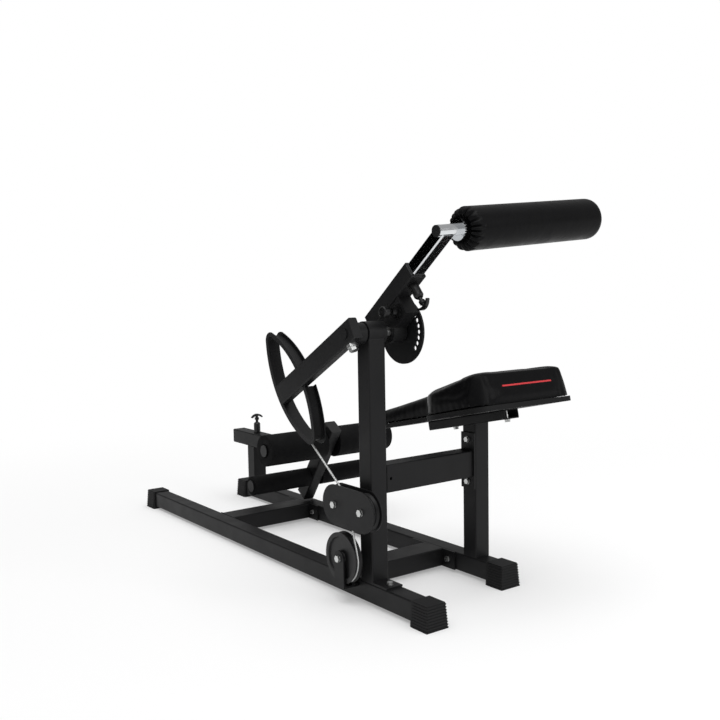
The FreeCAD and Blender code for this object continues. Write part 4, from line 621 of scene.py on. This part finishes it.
def pull_seat(cover, seat, sizes):
    """Pull the vinyl over the edge: short folds round the rear corners and along the base."""
    normals = [vertex.normal.copy() for vertex in cover.data.vertices]
    for vertex, normal in zip(cover.data.vertices, normals):
        if abs(normal.dot(SEAT_UP)) >= SIDE_FACING:
            continue
        back, across, height = seat.measure(vertex.co)
        aside = seat.half - CORNER_INSET - abs(across)
        corner = math.exp(-((back - CORNER_INSET) ** 2 + aside ** 2) / (2 * CORNER_SPREAD ** 2))
        turn = (abs(across) - back) / sizes.fold_pitch
        uneven = 0.6 + 0.4 * math.sin(2.3 * turn + 0.8)
        low = math.exp(-max(height, 0.0) / BASE_FOLDS)
        high = 0.5 * math.exp(-((height - TOP_FOLDS) / TOP_FOLDS_WIDTH) ** 2)
        fold = math.sin(2 * math.pi * turn + 18 * height) * uneven * corner * (low + high)
        staples = (math.sin(2 * math.pi * back / STAPLE_PITCH)
                   * math.sin(2 * math.pi * back / STAPLE_CHANGE) * low * (1 - corner))
        vertex.co += normal * sizes.fold_depth * (fold + 0.35 * staples)


class ROMAN_OT_seat(bpy.types.Operator):
    """Upholster the seat: a stretched vinyl cover over the tapered pad"""
    bl_idname = "roman.seat"
    bl_label = "Seat pad"

    def execute(self, context):
        sizes = context.scene.chair_padding
        seat = SeatFrame()
        cover = cover_from("seat_pad", "seat_cover", sizes.voxel, COVER_INSET)
        shape_seat(cover, seat, sizes)
        smooth_cover(cover, seat, 14)
        fill_cover(cover, sizes.fill_cap,
                   lambda point: seat.measure(point)[2] < BASE_PINNED)
        cover.vertex_groups.clear()
        smooth_cover(cover, seat, 10)
        apply_modifier(cover, "SUBSURF", levels=1, render_levels=1)
        pull_seat(cover, seat, sizes)
        smooth(cover, 60)
        hand_over(cover, "base", finish(upholstery_vinyl), ["seat_pad"])
        self.stripe(cover, seat, sizes)
        return {"FINISHED"}

    def stripe(self, cover, seat, sizes):
        """A plain straight ribbon across the rear face of the cover."""
        leave_edit()
        bpy.ops.mesh.primitive_grid_add(x_subdivisions=60, y_subdivisions=2, size=1.0)
        ribbon = added("seat_stripe")
        for vertex in ribbon.data.vertices:
            across = STRIPE_START + (vertex.co.x + 0.5) * STRIPE_LENGTH
            behind = seat.place(STRIPE_SOUGHT, across,
                                STRIPE_HEIGHT + vertex.co.y * sizes.stripe_width)
            touched = cover.ray_cast(behind, -SEAT_FORWARD)[1]
            vertex.co = touched + SEAT_FORWARD * STRIPE_LIFT
        apply_modifier(ribbon, "SOLIDIFY", thickness=STRIPE_THICKNESS, offset=0.0)
        smooth(ribbon, 40)
        hand_over(ribbon, "base", finish(woven_ribbon))


# ---------------------------------------------------------------- cable
RING_GAP = 12 * MM          # the cable's edges are split until none is longer
SPLIT_ROUNDS = 5


def towards(centre, radius, angle):
    """A point of a circle in the cable's plane."""
    return centre + Vector((math.cos(angle), 0, math.sin(angle))) * radius


def cable_radius(node):
    """Half the thickness of a cable that lies in one plane."""
    low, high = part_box(node)
    return (high[1] - low[1]) / 2


def upper_end(node):
    """The middle of a cable's upper end, which is cut square and lies level across."""
    radius = cable_radius(node)
    points = [vertex.co for vertex in NODES[node].data.vertices]
    tip = max(points, key=lambda point: point.z)
    rim = [point for point in points
           if (point - tip).length < 2.2 * radius and tip.z - point.z < 1.6 * radius]
    low = min(point.y for point in rim)
    high = max(point.y for point in rim)
    sides = [point for point in rim if not low + 0.3 * MM <= point.y <= high - 0.3 * MM]
    side = max(sides, key=lambda point: point.z)
    return Vector((side.x, (low + high) / 2, side.z))


def free_run():
    """The straight run's ends: on the rear guide pulley and on the cam."""
    centre = Vector(JOINTS["guide_pulley_rear_spin"]["pos_m"])
    points = [vertex.co for vertex in NODES["run_cable"].data.vertices]
    lay = min((point - centre).length for point in points) + cable_radius("run_cable")
    top = upper_end("run_cable")
    way = top - centre
    way.y = 0
    turn = math.atan2(way.z, way.x)
    spread = math.acos(lay / way.length)
    ends = [towards(Vector((centre.x, top.y, centre.z)), lay, angle)
            for angle in (turn + spread, turn - spread)]
    gaps = [min((point - end).length for point in points) for end in ends]
    return ends[gaps.index(min(gaps))], top


class ROMAN_OT_cable(bpy.types.Operator):
    """Give the cable its even rings: its edges are split until none is longer than the ring gap"""
    bl_idname = "roman.cable"
    bl_label = "Cable"

    def execute(self, context):
        start, end = free_run()
        mesh = NODES["run_cable"].data.copy()
        cable = bpy.data.objects.new("lever_cable", mesh)
        context.scene.collection.objects.link(cable)
        choose(cable)
        bpy.ops.object.mode_set(mode="EDIT")
        bpy.ops.mesh.select_all(action="SELECT")
        bpy.ops.mesh.remove_doubles(threshold=0.01 * MM)
        bpy.ops.mesh.select_mode(type="EDGE")
        for _ in range(SPLIT_ROUNDS):
            bpy.ops.mesh.select_all(action="DESELECT")
            edit = bmesh.from_edit_mesh(cable.data)
            for edge in edit.edges:
                edge.select_set(edge.calc_length() > RING_GAP)
            bmesh.update_edit_mesh(cable.data)
            bpy.ops.mesh.subdivide(number_cuts=1)
        bpy.ops.object.mode_set(mode="OBJECT")
        smooth(cable, 50)
        coat(cable, finish(stranded_wire))
        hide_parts("run_cable")
        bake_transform(cable)
        leave_edit()
        return {"FINISHED"}


# ---------------------------------------------------------------- rollers
SLEEVE_GAP = 2 * MM         # between the sleeve and each end of the solid
SLEEVE_INSET = 2.5 * MM     # how far its side starts inside the solid, before it is filled
SLEEVE_FILL = 4 * MM        # how far filling may move it
SLEEVE_SEGMENTS = 144
SLEEVE_RINGS = 104

MOUTH_RADIUS = 24 * MM      # the gathered end's opening, behind the stop disc
MOUTH_SUNK = 7 * MM         # how far the opening lies back from the gathers
MOUTH_SLOPE = 14 * MM       # over this distance outwards

SEAM_ANGLE = math.radians(118)
SEAM_WIDTH = 1.6 * MM
SEAM_DEPTH = 1.3 * MM

FOAM_SIDES = 96
FOAM_EDGE = 6 * MM
FOAM_RECESS = 3 * MM


class RollerFrame:
    """Places on a roller: how far along its axle, and how far out and round from it."""

    def __init__(self, node, joint):
        self.origin = Vector(JOINTS[joint]["pos_m"])
        self.axis = Vector(JOINTS[joint]["axis"]).normalized()
        self.side = self.axis.cross(Vector((0, 0, 1))).normalized()
        self.up = self.side.cross(self.axis)
        measured = [self.measure(vertex.co) for vertex in NODES[node].data.vertices]
        self.near = min(place[0] for place in measured)
        self.far = max(place[0] for place in measured)
        self.radius = max(place[1] for place in measured)

    def measure(self, point):
        """Distance along the axle, distance from it and angle round it, from the side up."""
        way = point - self.origin
        along = way.dot(self.axis)
        out = way - self.axis * along
        return along, out.length, math.atan2(out.dot(self.up), out.dot(self.side))

    def place(self, along, distance, angle):
        """The point with those three measures."""
        out = self.side * math.cos(angle) + self.up * math.sin(angle)
        return self.origin + self.axis * along + out * distance


def sleeve(name, roller, radius, edge):
    """A closed sleeve on a roller's axle: its profile, face to face, wrapped all round."""
    length = roller.far - roller.near - 2 * SLEEVE_GAP
    face = radius - edge
    bend = edge * math.pi / 2
    side = length - 2 * edge
    total = 2 * face + 2 * bend + side

    def profile(travel):
        """Distance from the near face and from the axle, after a travel over the sleeve."""
        if travel > total / 2:
            along, distance = profile(total - travel)
            return length - along, distance
        if travel < face:
            return 0.0, travel
        if travel < face + bend:
            turn = (travel - face) / edge
            return edge * (1 - math.cos(turn)), face + edge * math.sin(turn)
        return edge + travel - face - bend, radius

    leave_edit()
    bpy.ops.mesh.primitive_grid_add(x_subdivisions=SLEEVE_SEGMENTS,
                                    y_subdivisions=SLEEVE_RINGS, size=1.0)
    piece = added(name)
    for vertex in piece.data.vertices:
        share = vertex.co.y + 0.5
        # The rings stand closer together towards the near end, where the gathers are.
        along, distance = profile(total * share * (0.6 + 0.4 * share))
        angle = 2 * math.pi * (vertex.co.x + 0.5)
        vertex.co = roller.place(roller.near + SLEEVE_GAP + along, distance, angle)
    bpy.ops.object.mode_set(mode="EDIT")
    bpy.ops.mesh.select_all(action="SELECT")
    bpy.ops.mesh.remove_doubles(threshold=0.01 * MM)
    bpy.ops.mesh.normals_make_consistent(inside=False)
    bpy.ops.object.mode_set(mode="OBJECT")
    return piece


def gather_end(cover, roller, sizes):
    """Draw a sleeve's near end in: deep uneven gathers, from the mouth over the rounded edge."""
    spread = roller.radius - MOUTH_RADIUS
    for vertex in cover.data.vertices:
        along, distance, angle = roller.measure(vertex.co)
        depth_in = along - roller.near
        if depth_in > 1.6 * sizes.pleat_reach:
            continue
        drift = 0.5 * math.sin(2 * angle + 1.0) + 0.35 * math.sin(5 * angle + 0.3)
        turn = sizes.pleats * angle / 2 + drift
        crest = abs(math.cos(turn))
        number = round((turn + math.pi / 2) / math.pi) % sizes.pleats
        uneven = 0.75 + 0.25 * math.sin(12.9 * number + 1.7)
        reach = sizes.pleat_reach * (0.8 + 0.2 * math.sin(7.7 * number))
        fade = min(max(1 - depth_in / reach, 0.0), 1.0) ** 0.8
        rise = eased((distance - 0.7 * MOUTH_RADIUS) / (0.5 * spread))
        out = distance - MOUTH_RADIUS
        drawn = sizes.pleat_depth * (1 - crest) ** 1.3 * uneven * fade * rise
        puffed = 0.22 * sizes.pleat_depth * crest * uneven * fade * rise
        moved = drawn - puffed
        on_face = min(max((0.75 * spread - out) / (0.5 * spread), 0.0), 1.0)
        sunk = MOUTH_SUNK * (1 - eased(out / MOUTH_SLOPE))
        vertex.co = roller.place(along + moved * (0.3 + 0.7 * on_face) + sunk,
                                 distance - moved * (1 - 0.6 * on_face), angle)


def sew_seam(cover, roller):
    """A sewn seam along the sleeve: a narrow groove with a low ridge beside it."""
    for vertex in cover.data.vertices:
        along, distance, angle = roller.measure(vertex.co)
        if distance < roller.radius * 0.8:
            continue
        aside = (angle - SEAM_ANGLE) * roller.radius / SEAM_WIDTH
        groove = math.exp(-aside ** 2)
        ridge = math.exp(-(aside - 2.2) ** 2)
        vertex.co = roller.place(along, distance - SEAM_DEPTH * (groove - 0.4 * ridge), angle)


class ROMAN_OT_chest_roller(bpy.types.Operator):
    """Cover the chest roller: a vinyl sleeve gathered at its near end"""
    bl_idname = "roman.chest_roller"
    bl_label = "Chest roller"

    def execute(self, context):
        sizes = context.scene.chair_padding
        roller = RollerFrame("chest_roller_pad", "chest_roller_spin")
        cover = sleeve("chest_cover", roller, roller.radius - SLEEVE_INSET, sizes.sleeve_edge)
        fill_cover(cover, SLEEVE_FILL,
                   lambda point: roller.measure(point)[1] < MOUTH_RADIUS)
        apply_modifier(cover, "SUBSURF", levels=1, render_levels=1)
        gather_end(cover, roller, sizes)
        sew_seam(cover, roller)
        smooth(cover, 80)
        hand_over(cover, "chest_roller", finish(upholstery_vinyl), ["chest_roller_pad"])
        return {"FINISHED"}


def foam_shape(name, node):
    """One foam roller on the place of a node: rounded edges and a shallow recess at the axle."""
    low, high = (Vector(corner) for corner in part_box(node))
    radius = (high.z - low.z) / 2
    leave_edit()
    bpy.ops.mesh.primitive_cylinder_add(
        vertices=FOAM_SIDES, radius=radius, depth=high.y - low.y, location=(low + high) / 2,
        rotation=(math.pi / 2, 0, 0))
    roller = added(name)
    settle(roller)
    bpy.ops.object.mode_set(mode="EDIT")
    pick_faces(roller, lambda point, normal: abs(normal.y) > 0.9)
    bpy.ops.mesh.inset(thickness=radius * 0.25)
    bpy.ops.mesh.inset(thickness=radius * 0.3)
    bpy.ops.mesh.inset(thickness=2 * MM, depth=-FOAM_RECESS)
    bpy.ops.object.mode_set(mode="OBJECT")
    apply_modifier(roller, "BEVEL", width=FOAM_EDGE, segments=4, limit_method="ANGLE",
                   angle_limit=math.radians(50))
    smooth(roller, 50)
    return roller


class ROMAN_OT_foam_rollers(bpy.types.Operator):
    """Make the foam leg rollers: one of each size, copied to its far side"""
    bl_idname = "roman.foam_rollers"
    bl_label = "Foam rollers"

    def execute(self, context):
        for pair in (("upper_foam_near", "upper_foam_far"),
                     ("lower_foam_near", "lower_foam_far")):
            first = foam_shape(pair[0] + "_foam", pair[0])
            second = first.copy()
            second.data = first.data.copy()
            second.name = pair[1] + "_foam"
            context.scene.collection.objects.link(second)
            way = Vector(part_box(pair[1])[0]) - Vector(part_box(pair[0])[0])
            second.data.transform(Matrix.Translation(way))
            for node, roller in zip(pair, (first, second)):
                hand_over(roller, node, finish(nitrile_foam), [node])
        return {"FINISHED"}


class ROMAN_OT_finishes(bpy.types.Operator):
    """Give every metal, rubber and moulded piece its finish"""
    bl_idname = "roman.finishes"
    bl_label = "Finishes"

    def execute(self, context):
        makers = {node: maker for maker, nodes in FINISH_NODES.items() for node in nodes}
        for name, piece in NODES.items():
            coat(piece, finish(makers.get(name, powder_coat)))
        return {"FINISHED"}


# ---------------------------------------------------------------- studio
FLOOR_SIZE = (120.0, 120.0)
FLAG_PLACE = (-3.4, -3.0, 1.1)     # a dark card out of sight, for the metal to mirror
FLAG_SIZE = (4.6, 2.6)
OVERHEAD_PLACE = (0.5, -0.4, 4.0)
OVERHEAD_SPREAD = math.radians(70)
SOFTBOX_PLACE = (3.4, 0.9, 1.9)
SOFTBOX_SIZE = 1.8
LAMP_TARGET = Vector((0, 0, 0.4))
FADE_START = 0.9            # metres from the machine's middle, where the floor starts to fade
FADE_END = 2.6
FLOOR_GLOW_NEAR = 0.3             # share of white glow the floor has from the start, near the machine too: painted light that lightens the cast shadows there


class ROMAN_OT_studio(bpy.types.Operator):
    """Set the floor, the backdrop, the lamps and the camera"""
    bl_idname = "roman.studio"
    bl_label = "Studio"

    def execute(self, context):
        settings = context.scene.chair_studio
        self.card("studio_floor", (0, 0, 0), FLOOR_SIZE, None, settings.floor_colour)
        dark = self.card("studio_flag", FLAG_PLACE, FLAG_SIZE, PIVOT, "#050505")
        dark.visible_camera = False
        self.light_world(context.scene, settings.sky_strength)
        self.lamp("overhead_light", "SUN", OVERHEAD_PLACE, settings.sun_strength,
                  angle=OVERHEAD_SPREAD)
        self.lamp("side_softbox", "AREA", SOFTBOX_PLACE, settings.side_power,
                  size=SOFTBOX_SIZE)
        self.aim_camera(context.scene, settings)
        context.scene.view_settings.view_transform = "Standard"
        return {"FINISHED"}

    def card(self, name, place, size, facing, colour):
        """A plain studio surface, flat on the floor or turned to face a point."""
        leave_edit()
        bpy.ops.mesh.primitive_plane_add(size=1.0, location=place)
        made = added(name)
        made.scale = (size[0], size[1], 1.0)
        if facing:
            way = facing - Vector(place)
            made.rotation_euler = way.to_track_quat("Z", "Y").to_euler()
        settle(made)
        material, tree, coordinates = new_material(name)
        paint = add_node(tree, "ShaderNodeBsdfPrincipled",
                         {"Base Color": linear(colour), "Roughness": 0.8,
                          "Specular IOR Level": 0.0})
        if name == "studio_floor":
            paint = self.fade_out(tree, coordinates, paint)
        close_material(tree, paint)
        coat(made, material)
        return made

    def fade_out(self, tree, coordinates, paint):
        """Turn the floor into the white of the backdrop with distance, for camera and mirrors. Near
        the machine it already glows a little white: painted light that lightens the cast shadows on
        it.
        """
        away = add_node(tree, "ShaderNodeVectorMath", {0: coordinates}, operation="LENGTH")
        far = add_node(tree, "ShaderNodeMapRange",
                       {"Value": away.outputs["Value"], "From Min": FADE_START,
                        "From Max": FADE_END, "To Min": FLOOR_GLOW_NEAR},
                       interpolation_type="SMOOTHSTEP")
        path = add_node(tree, "ShaderNodeLightPath")
        seen = add_node(tree, "ShaderNodeMath", {0: path.outputs["Is Camera Ray"],
                                                 1: path.outputs["Is Glossy Ray"]},
                        operation="MAXIMUM")
        clear = add_node(tree, "ShaderNodeMath", {0: seen.outputs[0],
                                                  1: path.outputs["Is Transmission Ray"]},
                         operation="MAXIMUM")
        share = add_node(tree, "ShaderNodeMath", {0: far.outputs[0], 1: clear.outputs[0]},
                         operation="MULTIPLY")
        white = add_node(tree, "ShaderNodeEmission", {"Color": (1.0, 1.0, 1.0, 1.0),
                                                      "Strength": 1.0})
        return add_node(tree, "ShaderNodeMixShader", {0: share.outputs[0],
                                                      1: paint.outputs[0],
                                                      2: white.outputs[0]})

    def light_world(self, scene, strength):
        """A white backdrop for the camera, and an even room light for everything else."""
        world = bpy.data.worlds.new("studio_world")
        scene.world = world
        world.use_nodes = True
        tree = world.node_tree
        tree.nodes.clear()
        path = add_node(tree, "ShaderNodeLightPath")
        level = add_node(tree, "ShaderNodeMapRange",
                         {"Value": path.outputs["Is Camera Ray"], "To Min": strength,
                          "To Max": 1.0})
        light = add_node(tree, "ShaderNodeBackground", {"Color": (1.0, 1.0, 1.0, 1.0),
                                                        "Strength": level.outputs[0]})
        add_node(tree, "ShaderNodeOutputWorld", {"Surface": light.outputs[0]})

    def lamp(self, name, kind, place, energy, **settings):
        """A lamp that faces the machine's middle."""
        data = bpy.data.lights.new(name, kind)
        data.energy = energy
        for key, value in settings.items():
            setattr(data, key, value)
        lamp = bpy.data.objects.new(name, data)
        lamp.location = place
        way = LAMP_TARGET - Vector(place)
        lamp.rotation_euler = way.to_track_quat("-Z", "Y").to_euler()
        bpy.context.scene.collection.objects.link(lamp)

    def aim_camera(self, scene, settings):
        """Stand the camera where the photograph was taken from."""
        azimuth, elevation, roll = settings.azimuth, settings.elevation, settings.roll
        ahead = Vector((-math.sin(azimuth) * math.cos(elevation),
                        math.cos(azimuth) * math.cos(elevation), -math.sin(elevation)))
        right = ahead.cross(Vector((0, 0, 1))).normalized()
        up = right.cross(ahead)
        turned = right * math.cos(roll) + up * math.sin(roll)
        raised = up * math.cos(roll) - right * math.sin(roll)
        camera = bpy.data.objects.new("camera", bpy.data.cameras.new("camera"))
        camera.data.lens = settings.lens
        camera.data.sensor_width = 36.0
        camera.data.clip_start = 0.05
        place = PIVOT + Vector(settings.camera_offset)
        turn = Matrix((turned, raised, -ahead)).transposed().to_4x4()
        camera.matrix_world = Matrix.Translation(place) @ turn
        scene.collection.objects.link(camera)
        scene.camera = camera


class ROMAN_PT_panel(bpy.types.Panel):
    """Lists the chair's pieces and their settings"""
    bl_idname = "ROMAN_PT_panel"
    bl_label = "Roman Chair"
    bl_space_type = "VIEW_3D"
    bl_region_type = "UI"
    bl_category = "Roman Chair"

    def draw(self, context):
        for operator in OPERATORS:
            self.layout.operator(operator.bl_idname)
        for settings in (context.scene.chair_padding, context.scene.chair_finish,
                         context.scene.chair_studio):
            box = self.layout.box()
            for key in settings.__annotations__:
                box.prop(settings, key)


OPERATORS = (ROMAN_OT_finishes, ROMAN_OT_seat, ROMAN_OT_chest_roller, ROMAN_OT_foam_rollers,
             ROMAN_OT_cable, ROMAN_OT_studio)
SETTINGS = (StudioSettings, PaddingSettings, FinishSettings)


def register():
    """Register the classes and hang the settings on the scene."""
    for group in SETTINGS + OPERATORS + (ROMAN_PT_panel,):
        bpy.utils.register_class(group)
    bpy.types.Scene.chair_studio = bpy.props.PointerProperty(type=StudioSettings)
    bpy.types.Scene.chair_padding = bpy.props.PointerProperty(type=PaddingSettings)
    bpy.types.Scene.chair_finish = bpy.props.PointerProperty(type=FinishSettings)


def unregister():
    """Take the settings and the classes away again."""
    del bpy.types.Scene.chair_finish
    del bpy.types.Scene.chair_padding
    del bpy.types.Scene.chair_studio
    for group in reversed(SETTINGS + OPERATORS + (ROMAN_PT_panel,)):
        bpy.utils.unregister_class(group)


def main():
    """Run every operator in order."""
    register()
    for operator in OPERATORS:
        area, name = operator.bl_idname.split(".")
        getattr(getattr(bpy.ops, area), name)()


if __name__ == "__main__":
    main()
